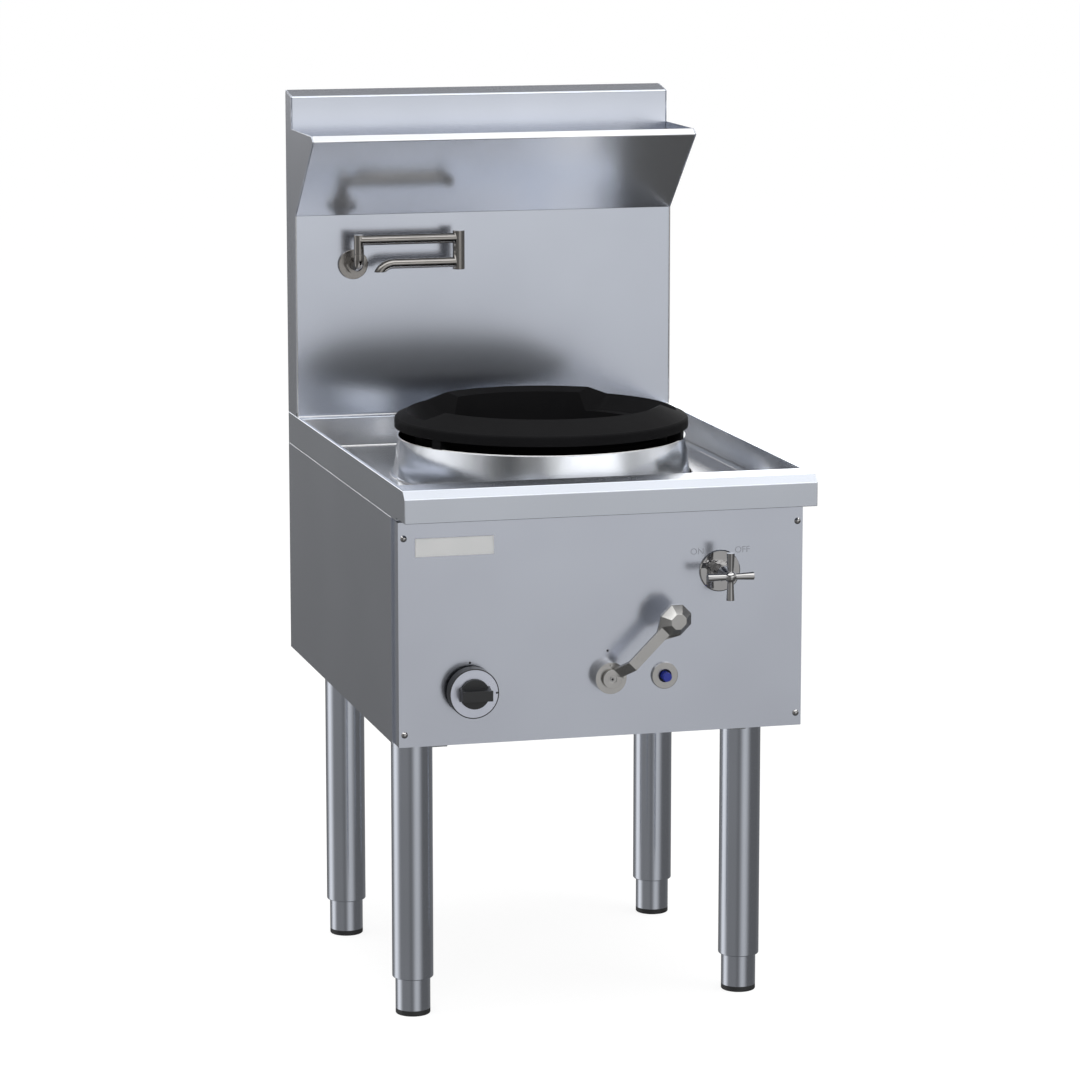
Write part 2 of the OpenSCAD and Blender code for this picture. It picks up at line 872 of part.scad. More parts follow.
// Flat cast head with rings of upright jets
module burner_head() {
    pitch = head_r * jet_pitch_share;
    color(iron) translate([0, burner_y, head_z]) difference() {
        union() {
            cylinder(r = head_r, h = head_h);
            jet_places(pitch) translate([0, 0, head_h]) cylinder(r = jet_r, h = jet_h, $fn = 32);
        }
        jet_places(pitch) translate([0, 0, head_h / 2])
            cylinder(r = jet_bore_r, h = head_h / 2 + jet_h + over, $fn = 24);
        translate([0, 0, -over])
            cylinder(r = venturi_r - venturi_t, h = head_h / 2 + over);
    }
}

module jet_places(pitch) {
    children();
    for (k = [0 : len(jet_ring_counts) - 1])
        for (i = [0 : jet_ring_counts[k] - 1])
            rotate([0, 0, 360 * i / jet_ring_counts[k]]) translate([pitch * (k + 1), 0, 0])
                children();
}

// Mixing tube: bell mouth at the front, elbow up into the burner head
module venturi() {
    color(iron) union() {
        pipe([[0, venturi_mouth_y + mouth_l, venturi_z], [0, burner_y, venturi_z],
              [0, burner_y, head_z - seat_gap]], venturi_r, venturi_t, venturi_bend);
        translate([0, venturi_mouth_y, venturi_z]) rotate([-90, 0, 0]) rotate_extrude()
            polygon([
                [mouth_r - venturi_t, 0], [mouth_r, 0], [venturi_r, mouth_l],
                [venturi_r - venturi_t, mouth_l]
            ]);
    }
}

// Low cast ring: outer cone up to a ridge, wok seat inside it, a scoop on each side, and
// a skirt under the seat that keeps the flames in
module wok_ring() {
    top = ridge_h;
    seat_in_r = seat_r - ring_wall_lean;
    color(iron) translate([0, burner_y, ring_z]) union() {
        difference() {
            rotate_extrude($fn = 128) polygon(concat(
                [[seat_in_r, -ring_skirt_h], [seat_in_r + ring_skirt_t, -ring_skirt_h],
                 [seat_in_r + ring_skirt_t, 0], [ring_r, 0]],
                [for (a = [0 : 30 : 90]) [ring_r - ring_round * (1 - cos(a)),
                                          ring_edge_h + ring_round * sin(a)]],
                [[ridge_r, top], [seat_r, top - seat_drop], [seat_in_r, 0]]
            ));
            for (side = [0, 1]) mirror([side, 0, 0]) rotate([0, 0, scoop_angle]) intersection() {
                rotate([90, 0, 90]) linear_extrude(ring_r + ring_round)
                    polygon([
                        [-scoop_half_w + scoop_side_share * scoop_h, 0],
                        [scoop_half_w - scoop_side_share * scoop_h, 0],
                        [scoop_half_w + scoop_side_share * (top - scoop_h + over), top + over],
                        [-scoop_half_w - scoop_side_share * (top - scoop_h + over), top + over]
                    ]);
                rotate_extrude($fn = 128) polygon([
                    [scoop_r - scoop_reach, scoop_h - scoop_reach],
                    [scoop_r + top + over - scoop_h, top + over],
                    [scoop_r - scoop_reach, top + over]
                ]);
            }
        }
        for (a = lug_angles) rotate([0, 0, a]) {
            translate([lug_in_r, -lug_w / 2, -lug_h])
                cube([lug_out_r - lug_in_r, lug_w, lug_h]);
            translate([lug_in_r, -lug_w / 2, -lug_h - lug_step_h])
                cube([lug_step_r - lug_in_r, lug_w, lug_step_h]);
        }
    }
}

// Threaded end of a supply pipe, with its lock nut under the base
module inlet_end(x, r, nut_r) {
    translate([x, inlet_y, inlet_z]) cylinder(r = r, h = inlet_l);
    translate([x, inlet_y, inlet_nut_z]) cylinder(r = nut_r, h = inlet_nut_h, $fn = 6);
}

// Gas supply from the inlet at the rear, along the right, then across behind the panel
module gas_manifold() {
    end_x = knob_x - 2 * tee_r;
    color(galvanised) difference() {
        union() {
            tube_run([[inlet_x, inlet_y, inlet_z], [inlet_x, inlet_y, manifold_z],
                      [inlet_x, manifold_y, manifold_z], [end_x, manifold_y, manifold_z]],
                     manifold_r, manifold_bend);
            for (x = [knob_x, lever_x])
                translate([x, manifold_y, manifold_z]) cylinder(r = tee_r, h = tee_top - manifold_z);
            inlet_end(inlet_x, gas_inlet_r, gas_nut_r);
        }
        translate([inlet_x, inlet_y, inlet_z - over])
            cylinder(r = gas_bore_r, h = manifold_z - inlet_z - manifold_bend);
    }
}

// Quarter-turn cock behind the panel; its neck carries the lever
module main_valve() {
    y0 = panel_setback + sheet_t + valve_gap;
    color(brass) difference() {
        union() {
            translate([lever_x - main_valve_w / 2, y0 + neck_l, lever_z - main_valve_h / 2])
                cube([main_valve_w, main_valve_l, main_valve_h]);
            at_panel(lever_x, lever_z) translate([0, 0, -sheet_t - valve_gap - neck_l])
                cylinder(r = neck_r, h = sheet_t + valve_gap + neck_l + collar_d - seat_gap);
            translate([lever_x, manifold_y, tee_top + slip_gap])
                cylinder(r = tee_r, h = lever_z - tee_top - slip_gap);
            translate([0, y0 + neck_l + main_valve_l, lever_z]) rotate([-90, 0, 0])
                cylinder(r = outlet_boss_r, h = outlet_boss_l);
        }
        at_panel(lever_x, lever_z) translate([0, 0, -stem_in - over])
            cylinder(r = stem_r + fit_gap, h = stem_in + collar_d + 2 * over);
    }
}

// Pipe from the cock up to the injector in front of the mixing tube
module main_gas_pipe() {
    color(brass) tube_run([[0, valve_out_y + slip_gap, lever_z], [0, gas_rise_y, lever_z],
                            [0, gas_rise_y, venturi_z], [0, injector_y, venturi_z]],
                           gas_pipe_r, gas_pipe_bend);
    color(brass) translate([0, injector_y, venturi_z]) rotate([-90, 0, 0]) difference() {
        union() {
            cylinder(r = injector_af_r, h = injector_l, $fn = 6);
            cylinder(r = injector_tip_r, h = injector_l + injector_tip_l);
        }
        translate([0, 0, injector_l]) cylinder(r = injector_hole_r, h = injector_tip_l + over);
    }
}

// Flame-failure gas valve behind the knob
module pilot_valve() {
    color(brass) difference() {
        union() {
            at_panel(knob_x, knob_z) translate([0, 0, -sheet_t - valve_gap - pilot_neck_l])
                cylinder(r = pilot_neck_r, h = pilot_neck_l);
            at_panel(knob_x, knob_z)
                translate([0, 0, -sheet_t - valve_gap - pilot_neck_l - pilot_valve_l])
                    cylinder(r = pilot_valve_r, h = pilot_valve_l);
            translate([knob_x, manifold_y, tee_top + slip_gap])
                cylinder(r = pilot_neck_r, h = knob_z - tee_top - pilot_valve_r / 2);
        }
        at_panel(knob_x, knob_z) translate([0, 0, -spindle_back - spindle_room])
            cylinder(r = spindle_r + fit_gap, h = spindle_back + spindle_room);
    }
}

// Small tube to a hooded pilot jet beside the head, with its thermocouple
module pilot_burner() {
    z1 = hob_h - pilot_cross_drop;
    jet_z = head_z + head_h / 2;
    color(copper) tube_run([[knob_x, pilot_valve_back + slip_gap, knob_z],
                            [knob_x, pilot_run_y, knob_z], [knob_x, pilot_run_y, z1],
                            [pilot_x, pilot_run_y, z1], [pilot_x, pilot_y, z1],
                            [pilot_x, pilot_y, jet_z]], pilot_tube_r, pilot_bend);
    color(steel_dark) translate([pilot_x, pilot_y, jet_z]) {
        cylinder(r = pilot_jet_r, h = pilot_jet_h);
        translate([-probe_off, 0, 0]) cylinder(r = probe_r, h = probe_h);
        translate([-probe_off - pilot_jet_r, -pilot_jet_r, 0])
            cube([probe_off + 2 * pilot_jet_r, 2 * pilot_jet_r, pilot_plate_t]);
    }
}

// Spark electrode on the other side of the head, with its lead from the igniter
module spark_electrode() {
    z1 = hob_h - pilot_cross_drop;
    base_z = head_z + head_h / 2;
    start_y = igniter_back + slip_gap;
    color(black) tube_run([[igniter_x, start_y, igniter_z], [igniter_x, pilot_run_y, igniter_z],
                           [igniter_x, pilot_run_y, z1], [-pilot_x, pilot_run_y, z1],
                           [-pilot_x, pilot_y, z1], [-pilot_x, pilot_y, base_z]],
                          lead_r, lead_bend);
    color(white) translate([-pilot_x, pilot_y, base_z]) cylinder(r = insulator_r, h = insulator_h);
    color(steel_dark) translate([-pilot_x, pilot_y, base_z])
        cylinder(r = electrode_r, h = electrode_h);
}

// Spindle that the knob turns on and pushes in
module knob_spindle() {
    tip = knob_gap + knob_bore_d - seat_gap;
    color(brass) at_panel(knob_x, knob_z) translate([0, 0, -spindle_back])
        cylinder(r = spindle_r, h = spindle_back + tip);
}

// Drum, raised boss and waisted grip bar
module knob_body() {
    face = knob_gap + knob_d;
    color(black) at_panel(knob_x, knob_z) difference() {
        union() {
            difference() {
                translate([0, 0, knob_gap]) cylinder(r = knob_r, h = knob_d);
                translate([0, 0, face - knob_ring_t]) difference() {
                    cylinder(r = knob_r - knob_ring_margin, h = knob_ring_t + over);
                    translate([0, 0, -over]) cylinder(r = knob_ring_in_r, h = knob_ring_t + 3 * over);
                }
            }
            translate([0, 0, face]) cylinder(r = knob_ring_in_r - slip_gap, h = boss_rise);
            translate([-grip_left, 0, face]) rotate([90, 0, 90])
                linear_extrude(grip_left + grip_right) polygon([
                    [-grip_base_w / 2, slip_gap], [grip_base_w / 2, slip_gap],
                    [grip_waist_w / 2, grip_rise / 2], [grip_top_w / 2, grip_rise],
                    [-grip_top_w / 2, grip_rise], [-grip_waist_w / 2, grip_rise / 2]
                ]);
        }
        translate([0, 0, knob_gap - over]) cylinder(r = spindle_r + fit_gap, h = knob_bore_d + over);
    }
}

module knob_ring() {
    color(chrome) at_panel(knob_x, knob_z) translate([0, 0, knob_gap + knob_d - knob_ring_t])
        difference() {
            cylinder(r = knob_r - knob_ring_margin - slip_gap / 2, h = knob_ring_t);
            translate([0, 0, -over])
                cylinder(r = knob_ring_in_r + slip_gap / 2, h = knob_ring_t + 2 * over);
        }
}

// Deep collar round the cock's neck, with two stop pins on its face
module lever_collar() {
    color(steel) at_panel(lever_x, lever_z) {
        difference() {
            cylinder(r = collar_r, h = collar_d);
            translate([0, 0, -over]) cylinder(r = neck_r + slip_gap, h = collar_d + 2 * over);
        }
        for (a = [0, 90]) rotate([0, 0, a]) translate([stop_pin_at, 0, collar_d])
            cylinder(r = stop_pin_r, h = stop_pin_h, $fn = 24);
    }
}

// Turned to its resting angle on the cock's axis, with z out towards the user
module at_lever() {
    at_panel(lever_x, lever_z) rotate([0, 0, lever_rest_angle])
        translate([0, 0, collar_d + seat_gap]) children();
}

// Hub, stem, cranked bar and a small round mark
module lever_arm() {
    t = lever_t;
    bar_end = lever_l - head_len / 4;
    z1 = hub_t + crank_rise;
    color(steel) at_lever() difference() {
        union() {
            cylinder(r = hub_r, h = hub_t);
            translate([0, 0, -collar_d - seat_gap - stem_in + valve_gap])
                cylinder(r = stem_r, h = collar_d + seat_gap + stem_in - valve_gap);
            translate([0, lever_w / 2, 0]) rotate([90, 0, 0]) linear_extrude(lever_w) polygon([
                [0, hub_t - t], [crank_start, hub_t - t], [crank_end, z1 - t],
                [bar_end, z1 - t], [bar_end, z1], [crank_end - t / 2, z1],
                [crank_start - t / 2, hub_t], [0, hub_t]
            ]);
            translate([lever_mark_at, 0, z1]) difference() {
                cylinder(r = lever_mark_r, h = lever_mark_h, $fn = 32);
                translate([0, 0, -over])
                    cylinder(r = lever_mark_r - lever_mark_h, h = lever_mark_h + 2 * over, $fn = 32);
            }
        }
        translate([0, 0, hub_t - lever_recess_d]) cylinder(r = lever_recess_r, h = t);
        translate([0, 0, hub_t - lever_hole_d]) cylinder(r = lever_hole_r + slip_gap, h = lever_hole_d + t);
    }
}

// Chamfered block on the end of the bar
module lever_head() {
    z1 = hub_t + crank_rise;
    color(steel) at_lever() translate([lever_l, 0, z1 - lever_t / 2]) difference() {
        union() {
            hull() {
                translate([0, 0, -head_back]) linear_extrude(slip_gap) head_outline(head_waist_share);
                linear_extrude(slip_gap) head_outline(1);
            }
            hull() {
                linear_extrude(lever_t / 2) head_outline(1);
                translate([0, 0, head_front + lever_t / 2 - slip_gap])
                    linear_extrude(slip_gap) head_outline(head_face_share);
            }
            translate([0, 0, -lever_t / 2]) linear_extrude(lever_t) polygon([
                [-head_len / 2 - head_flare_l, -lever_w / 2], [-head_len / 2 + head_corner, -head_wid / 2],
                [-head_len / 2 + head_corner, head_wid / 2], [-head_len / 2 - head_flare_l, lever_w / 2]
            ]);
        }
        translate([-head_len, -lever_w / 2 - slip_gap, -lever_t / 2 - slip_gap])
            cube([head_len - head_len / 4 + slip_gap, lever_w + 2 * slip_gap, lever_t + 2 * slip_gap]);
    }
}

module head_outline(share) {
    l = head_len / 2;
    w = head_wid / 2;
    c = head_corner;
    scale([share, share]) polygon([
        [-l, -w + c], [-l + c, -w], [l - c, -w], [l, -w + c],
        [l, w - c], [l - c, w], [-l + c, w], [-l, w - c]
    ]);
}

module lever_screw() {
    color(chrome) at_lever() translate([0, 0, hub_t - lever_recess_d]) difference() {
        union() {
            cylinder(r = lever_screw_r, h = lever_screw_h);
            translate([0, 0, lever_recess_d - lever_hole_d + over])
                cylinder(r = lever_hole_r, h = lever_hole_d - lever_recess_d - over);
        }
        translate([0, 0, lever_screw_h / 2]) cylinder(r = lever_screw_r / 2, h = lever_screw_h, $fn = 6);
    }
}

// Flat disc round the button
module igniter_flange() {
    color(steel) at_panel(igniter_x, igniter_z) difference() {
        cylinder(r = igniter_flange_r, h = igniter_flange_t);
        translate([0, 0, -over]) cylinder(r = igniter_hole_r, h = igniter_flange_t + 2 * over);
    }
}

// Spark generator: a neck through the panel and a barrel behind it
module igniter_body() {
    color(black) at_panel(igniter_x, igniter_z) difference() {
        union() {
            translate([0, 0, -sheet_t - valve_gap]) cylinder(r = igniter_neck_r, h = sheet_t + valve_gap);
            translate([0, 0, -igniter_body_l])
                cylinder(r = igniter_body_r, h = igniter_body_l - sheet_t - valve_gap);
        }
        translate([0, 0, -button_in - button_travel - igniter_wall])
            cylinder(r = button_r + fit_gap, h = button_in + button_travel + igniter_wall + over);
    }
}

module igniter_button() {
    color(blue) at_panel(igniter_x, igniter_z) translate([0, 0, -button_in])
        cylinder(r = button_r, h = button_in + button_out);
}

// Domed cover flange of the tap
module tap_flange() {
    color(chrome) at_panel(tap_x, tap_z) rotate_extrude() polygon([
        [bonnet_r + slip_gap, 0], [tap_flange_r, 0], [tap_flange_r, tap_flange_t / 2],
        [tap_flange_r - tap_flange_t / 2, tap_flange_t],
        [bonnet_r + slip_gap + tap_collar_w, tap_flange_t],
        [bonnet_r + slip_gap + tap_collar_w, tap_flange_t + tap_collar_h],
        [bonnet_r + slip_gap, tap_flange_t + tap_collar_h]
    ]);
}

// Tap body behind the panel, its bonnet through the panel
module water_valve() {
    color(chrome) difference() {
        union() {
            at_panel(tap_x, tap_z) {
                translate([0, 0, -sheet_t - valve_gap - water_valve_l])
                    cylinder(r = water_valve_r, h = water_valve_l);
                translate([0, 0, -sheet_t - valve_gap])
                    cylinder(r = bonnet_r, h = sheet_t + valve_gap + bonnet_l);
                translate([0, 0, tap_flange_t + tap_collar_h + slip_gap])
                    cylinder(r = bonnet_nut_r, h = bonnet_nut_l, $fn = 6);
            }
            translate([tap_x, water_run_y, tap_z - water_boss_l])
                cylinder(r = water_boss_r, h = 2 * water_boss_l);
        }
        at_panel(tap_x, tap_z) translate([0, 0, -tap_stem_in - over])
            cylinder(r = tap_stem_r + fit_gap, h = tap_stem_in + bonnet_l + 2 * over);
    }
}

// Spindle, round hub and four flared arms
module tap_cross() {
    color(chrome) at_panel(tap_x, tap_z) union() {
        translate([0, 0, -tap_stem_in]) cylinder(r = tap_stem_r, h = tap_stem_in + tap_out);
        translate([0, 0, bonnet_l + seat_gap])
            cylinder(r1 = bonnet_r - over, r2 = tap_stem_r, h = tap_out - bonnet_l - tap_hub_r);
        translate([0, 0, tap_out]) {
            sphere(r = tap_hub_r);
            for (a = [0 : 90 : 270]) rotate([0, 90, a])
                cylinder(r1 = tap_arm_in_r, r2 = tap_arm_out_r, h = tap_arm_l);
        }
    }
}

// Supply from the rear to the tap, and feed from the tap round the back up to the faucet
module water_pipes() {
    low_z = hob_h - water_cross_drop;
    high_z = hob_h - water_side_drop;
    side_x = half_w - water_side;
    color(copper) union() {
        tube_run([[-inlet_x, inlet_y, inlet_z], [-inlet_x, inlet_y, low_z],
                  [-inlet_x, water_run_y, low_z], [tap_x, water_run_y, low_z],
                  [tap_x, water_run_y, tap_z - water_boss_l - slip_gap]],
                 water_pipe_r, water_bend);
        translate([-inlet_x, inlet_y, inlet_z]) cylinder(r = water_neck_r, h = water_neck_l);
        inlet_end(-inlet_x, water_inlet_r, water_nut_r);
        tube_run([[tap_x, water_run_y, tap_z + water_boss_l + slip_gap],
                  [tap_x, water_run_y, high_z], [side_x, water_run_y, high_z],
                  [side_x, water_back_y, high_z], [faucet_x, water_back_y, high_z],
                  [faucet_x, water_back_y, hob_h + faucet_z],
                  [faucet_x, splash_y + water_pipe_end, hob_h + faucet_z]],
                 water_pipe_r, water_bend);
    }
}

module faucet_flange() {
    color(chrome) at_splash(faucet_x, hob_h + faucet_z) difference() {
        cylinder(r = faucet_flange_r, h = faucet_flange_t);
        translate([0, 0, -over])
            cylinder(r = faucet_r + slip_gap, h = faucet_flange_t + 2 * over);
    }
}

module faucet_nut() {
    color(chrome) at_splash(faucet_x, hob_h + faucet_z) translate([0, 0, faucet_flange_t])
        difference() {
            cylinder(r = faucet_nut_r, h = faucet_nut_l, $fn = 6);
            translate([0, 0, -over])
                cylinder(r = faucet_r + slip_gap, h = faucet_nut_l + 2 * over);
        }
}

// Elbow out of the splash panel and up, with the spigot that the arm turns on
module faucet_riser() {
    y = splash_y - faucet_reach;
    z = hob_h + faucet_z;
    color(chrome) union() {
        tube_run([[faucet_x, splash_y + faucet_tail, z], [faucet_x, y, z],
                  [faucet_x, y, z + collar_up]], faucet_r, faucet_bend);
        translate([faucet_x, y, z + collar_up]) cylinder(r = spigot_r, h = spigot_l);
    }
}

// Sleeve over the spigot, first arm and the upper half of the elbow hinge
module faucet_arm() {
    bottom = collar_up + seat_gap;
    hinge_top = riser_up + hinge_up;
    half_h = hinge_h / 2 - seat_gap / 2;
    color(chrome) translate([faucet_x, splash_y - faucet_reach, hob_h + faucet_z]) difference() {
        union() {
            translate([0, 0, bottom]) cylinder(r = faucet_r, h = riser_up - bottom);
            rod([0, 0, riser_up - arm_drop], [arm_l, 0, riser_up - arm_drop], faucet_r);
            translate([arm_l, 0, hinge_top - half_h]) cylinder(r = hinge_r, h = half_h);
        }
        translate([0, 0, bottom - over])
            cylinder(r = spigot_r + fit_gap, h = spigot_l + over);
        translate([arm_l, 0, hinge_top - half_h - over])
            cylinder(r = hinge_pin_r + fit_gap, h = hinge_pin_l + 2 * over);
    }
}

// Lower half of the hinge with its pin, second arm and the turned-down outlet
module faucet_spout() {
    low = riser_up + hinge_up - hinge_h;
    half_h = hinge_h / 2 - seat_gap / 2;
    axis_z = low + spout_axis_up;
    bend = spout_fall / (1 - cos(spout_turn));
    corner = [arm_l - spout_l - bend * (1 - sin(spout_turn)), 0, axis_z];
    tip = corner - [0, 0, bend + faucet_r];
    cut = bend + 2 * faucet_r + over;
    color(chrome) translate([faucet_x, splash_y - faucet_reach, hob_h + faucet_z]) difference() {
        union() {
            translate([arm_l, 0, low]) cylinder(r = hinge_r, h = half_h);
            translate([arm_l, 0, low]) cylinder(r = hinge_pin_r, h = half_h + hinge_pin_l);
            tube_run([[arm_l, 0, axis_z], corner, tip], faucet_r, bend);
        }
        translate([corner[0] - faucet_r - over, -cut / 2, axis_z - spout_fall - cut])
            cube([cut, cut, cut]);
    }
}

// Flanged cup in the well's floor and the waste pipe under it
module drain_outlet() {
    r = drain_cup_r;
    low = inlet_z - well_floor;
    neck_low = low + drain_spigot_l;
    neck_top = neck_low + thread_relief;
    color(steel) translate([drain_x, drain_y, well_floor]) rotate_extrude() polygon([
        [drain_flange_r, 0], [drain_flange_r, drain_flange_t], [r, drain_flange_t],
        [r, -drain_cup_h], [drain_pipe_r - drain_pipe_t, -drain_cup_h],
        [drain_pipe_r - drain_pipe_t, low], [drain_pipe_r, low], [drain_pipe_r, neck_low],
        [drain_pipe_r - drain_relief_d, neck_low], [drain_pipe_r - drain_relief_d, neck_top],
        [drain_body_r, neck_top],
        [drain_body_r, -drain_cup_h - drain_cup_t], [r + drain_cup_t, -drain_cup_h - drain_cup_t],
        [r + drain_cup_t, 0]
    ]);
}

module drain_strainer() {
    color(steel) translate([drain_x, drain_y, well_floor - drain_cup_h + seat_gap]) union() {
        difference() {
            cylinder(r = drain_cup_r - seat_gap, h = strainer_t);
            for (i = [0 : strainer_holes - 1]) rotate([0, 0, 360 * i / strainer_holes])
                translate([strainer_ring_r, 0, -over])
                    cylinder(r = strainer_hole_r, h = strainer_t + 2 * over);
        }
        cylinder(r = strainer_knob_r, h = strainer_t + strainer_knob_h);
    }
}

// Plates with tubular sockets under the rails; the front pair has a tab and a small block
module leg_sockets() {
    top = cab_bottom + sheet_t;
    r = leg_r - leg_t - slip_gap;
    color(zinc) for (c = leg_places) translate([c[0], c[1], top - plate_t]) {
        difference() {
            union() {
                translate([-plate_w / 2, -plate_l / 2, 0]) cube([plate_w, plate_l, plate_t]);
                translate([0, 0, -socket_h]) cylinder(r = r, h = socket_h + plate_t / 2);
            }
            translate([0, 0, -socket_h - over]) cylinder(r = r - socket_wall, h = socket_h + over);
            for (x = [-bolt_x, bolt_x], y = [-bolt_y, bolt_y])
                translate([x, y, -over]) cylinder(r = bolt_r + slip_gap, h = plate_t + 2 * over);
        }
    }
    for (side = [-1, 1]) {
        x = side * (leg_x - plate_w / 2 + hook_w / 2);
        block_x = side * (leg_x - plate_w / 2 - slip_gap - block_w / 2);
        color(zinc) translate([x - hook_w / 2, leg_front_y - hook_y, top - plate_t])
            cube([hook_w, hook_y - plate_l / 2, plate_t]);
        color(zinc) translate([x - hook_w / 2, leg_front_y - hook_y, top - hook_h])
            cube([hook_w, hook_l, hook_h]);
        color(bronze) translate([block_x - block_w / 2, leg_front_y - hook_y, top - block_h])
            cube([block_w, block_l, block_h]);
    }
}

// Hexagon bolts through the plates and the rails
module leg_bolts() {
    low = cab_bottom + sheet_t - plate_t;
    color(zinc) for (c = leg_places)
        for (x = [-bolt_x, bolt_x], y = [-bolt_y, bolt_y]) translate([c[0] + x, c[1] + y, low]) {
            translate([0, 0, -bolt_head_h]) cylinder(r = bolt_head_r, h = bolt_head_h, $fn = 6);
            cylinder(r = bolt_r, h = bolt_out);
        }
}

// Tube with a rounded bottom edge and the bush that the foot slides in
module leg(place) {
    top = cab_bottom + sheet_t - plate_t;
    r = leg_r;
    color(steel) translate([leg_places[place][0], leg_places[place][1], leg_clear])
        rotate_extrude() union() {
            polygon([
                [foot_r + fit_gap, 0], [r - leg_round, 0], [r, leg_round], [r, top - leg_clear],
                [r - leg_t, top - leg_clear], [r - leg_t, bush_h], [foot_r + fit_gap, bush_h]
            ]);
            translate([r - leg_round, leg_round]) circle(r = leg_round, $fn = 24);
        }
}

module leg_front_left() {
    leg(0);
}

module leg_front_right() {
    leg(1);
}

module leg_rear_left() {
    leg(2);
}

module leg_rear_right() {
    leg(3);
}

// Sleeve that slides in the leg's bush
module foot(place) {
    color(steel) translate([leg_places[place][0], leg_places[place][1], cap_h]) difference() {
        cylinder(r = foot_r, h = leg_clear - cap_h + foot_up);
        translate([0, 0, -over])
            cylinder(r = foot_r - foot_t, h = leg_clear - cap_h + foot_up - foot_t + over);
    }
}

module foot_front_left() {
    foot(0);
}

module foot_front_right() {
    foot(1);
}

module foot_rear_left() {
    foot(2);
}

module foot_rear_right() {
    foot(3);
}

// End cap with a rounded lower edge and a spigot up inside the sleeve
module cap(place) {
    color(black) translate([leg_places[place][0], leg_places[place][1], 0])
        rotate_extrude() union() {
            polygon([
                [0, 0], [foot_r - cap_round, 0], [foot_r, cap_round], [foot_r, cap_h],
                [foot_r - foot_t - slip_gap, cap_h],
                [foot_r - foot_t - slip_gap, cap_h + cap_spigot_h], [0, cap_h + cap_spigot_h]
            ]);
            translate([foot_r - cap_round, cap_round]) circle(r = cap_round, $fn = 24);
        }
}

module cap_front_left() {
    cap(0);
}

module cap_front_right() {
    cap(1);
}

module cap_rear_left() {
    cap(2);
}

module cap_rear_right() {
    cap(3);
}

in_frame() hob_top();
in_frame() side_panel_left();
in_frame() side_panel_right();
in_frame() rear_panel();
in_frame() base_frame();
in_frame() front_panel();
in_frame() panel_screws();
in_frame() badge_plate();
in_frame() splash_panel();
in_frame() splash_side_left();
in_frame() splash_side_right();
in_frame() splash_back();
in_frame() splash_riser();
in_frame() deflector();
in_frame() chimney();
in_frame() firebox();
in_frame() burner_head();
in_frame() venturi();
in_frame() wok_ring();
in_frame() gas_manifold();
in_frame() main_valve();
in_frame() main_gas_pipe();
in_frame() pilot_valve();
in_frame() pilot_burner();
in_frame() spark_electrode();
in_frame() knob_spindle();
in_frame() knob_body();
in_frame() knob_ring();
in_frame() lever_collar();
in_frame() lever_arm();
in_frame() lever_head();
in_frame() lever_screw();
in_frame() igniter_flange();
in_frame() igniter_body();
in_frame() igniter_button();
in_frame() tap_flange();
in_frame() water_valve();
in_frame() tap_cross();
in_frame() water_pipes();
in_frame() faucet_flange();
in_frame() faucet_nut();
in_frame() faucet_riser();
in_frame() faucet_arm();
in_frame() faucet_spout();
in_frame() drain_outlet();
in_frame() drain_strainer();
in_frame() leg_sockets();
in_frame() leg_bolts();
in_frame() leg_front_left();
in_frame() leg_front_right();
in_frame() leg_rear_left();
in_frame() leg_rear_right();
in_frame() foot_front_left();
in_frame() foot_front_right();
in_frame() foot_rear_left();
in_frame() foot_rear_right();
in_frame() cap_front_left();
in_frame() cap_front_right();
in_frame() cap_rear_left();
in_frame() cap_rear_right();
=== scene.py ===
"""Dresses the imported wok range: finishes, fine pieces, camera and studio."""

import json
import math

import bmesh
import bpy
from bpy.props import FloatProperty, FloatVectorProperty, PointerProperty
from mathutils import Matrix, Vector

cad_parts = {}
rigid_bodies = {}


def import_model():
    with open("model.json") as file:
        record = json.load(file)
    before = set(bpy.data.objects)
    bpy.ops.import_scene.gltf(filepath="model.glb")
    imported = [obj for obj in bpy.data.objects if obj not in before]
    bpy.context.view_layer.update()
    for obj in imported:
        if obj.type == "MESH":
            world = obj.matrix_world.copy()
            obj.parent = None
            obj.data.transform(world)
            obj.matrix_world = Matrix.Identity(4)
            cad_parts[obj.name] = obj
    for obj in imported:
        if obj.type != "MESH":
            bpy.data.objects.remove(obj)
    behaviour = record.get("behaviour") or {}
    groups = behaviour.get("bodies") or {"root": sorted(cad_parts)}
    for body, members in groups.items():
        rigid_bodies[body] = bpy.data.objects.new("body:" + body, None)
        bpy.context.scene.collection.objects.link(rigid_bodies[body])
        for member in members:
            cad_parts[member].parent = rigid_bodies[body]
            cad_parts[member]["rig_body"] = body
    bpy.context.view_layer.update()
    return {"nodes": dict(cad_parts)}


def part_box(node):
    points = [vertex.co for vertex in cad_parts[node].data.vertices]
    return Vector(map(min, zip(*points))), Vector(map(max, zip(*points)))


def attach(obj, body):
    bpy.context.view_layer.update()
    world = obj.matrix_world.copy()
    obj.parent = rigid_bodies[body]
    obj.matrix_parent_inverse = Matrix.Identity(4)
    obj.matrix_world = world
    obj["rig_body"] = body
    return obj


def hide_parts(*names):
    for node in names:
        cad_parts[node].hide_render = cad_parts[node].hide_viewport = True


bl_info = {
    "name": "Wok range dressing",
    "version": (1, 0, 0),
    "blender": (4, 5, 0),
    "location": "3D View > Sidebar > Wok range",
    "description": "Finishes, folded edges, controls and studio for a single-burner wok range",
    "category": "Object",
}

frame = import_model()
NODES = frame["nodes"]
MM = 0.001
PANEL_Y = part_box("front_panel")[0].y

# Tolerances, in metres, and the cosine from which a face counts as square to an axis
MERGE = 1e-6
HAIR = 0.1 * MM
CLOSE = 0.3 * MM
SQUARE = 0.99


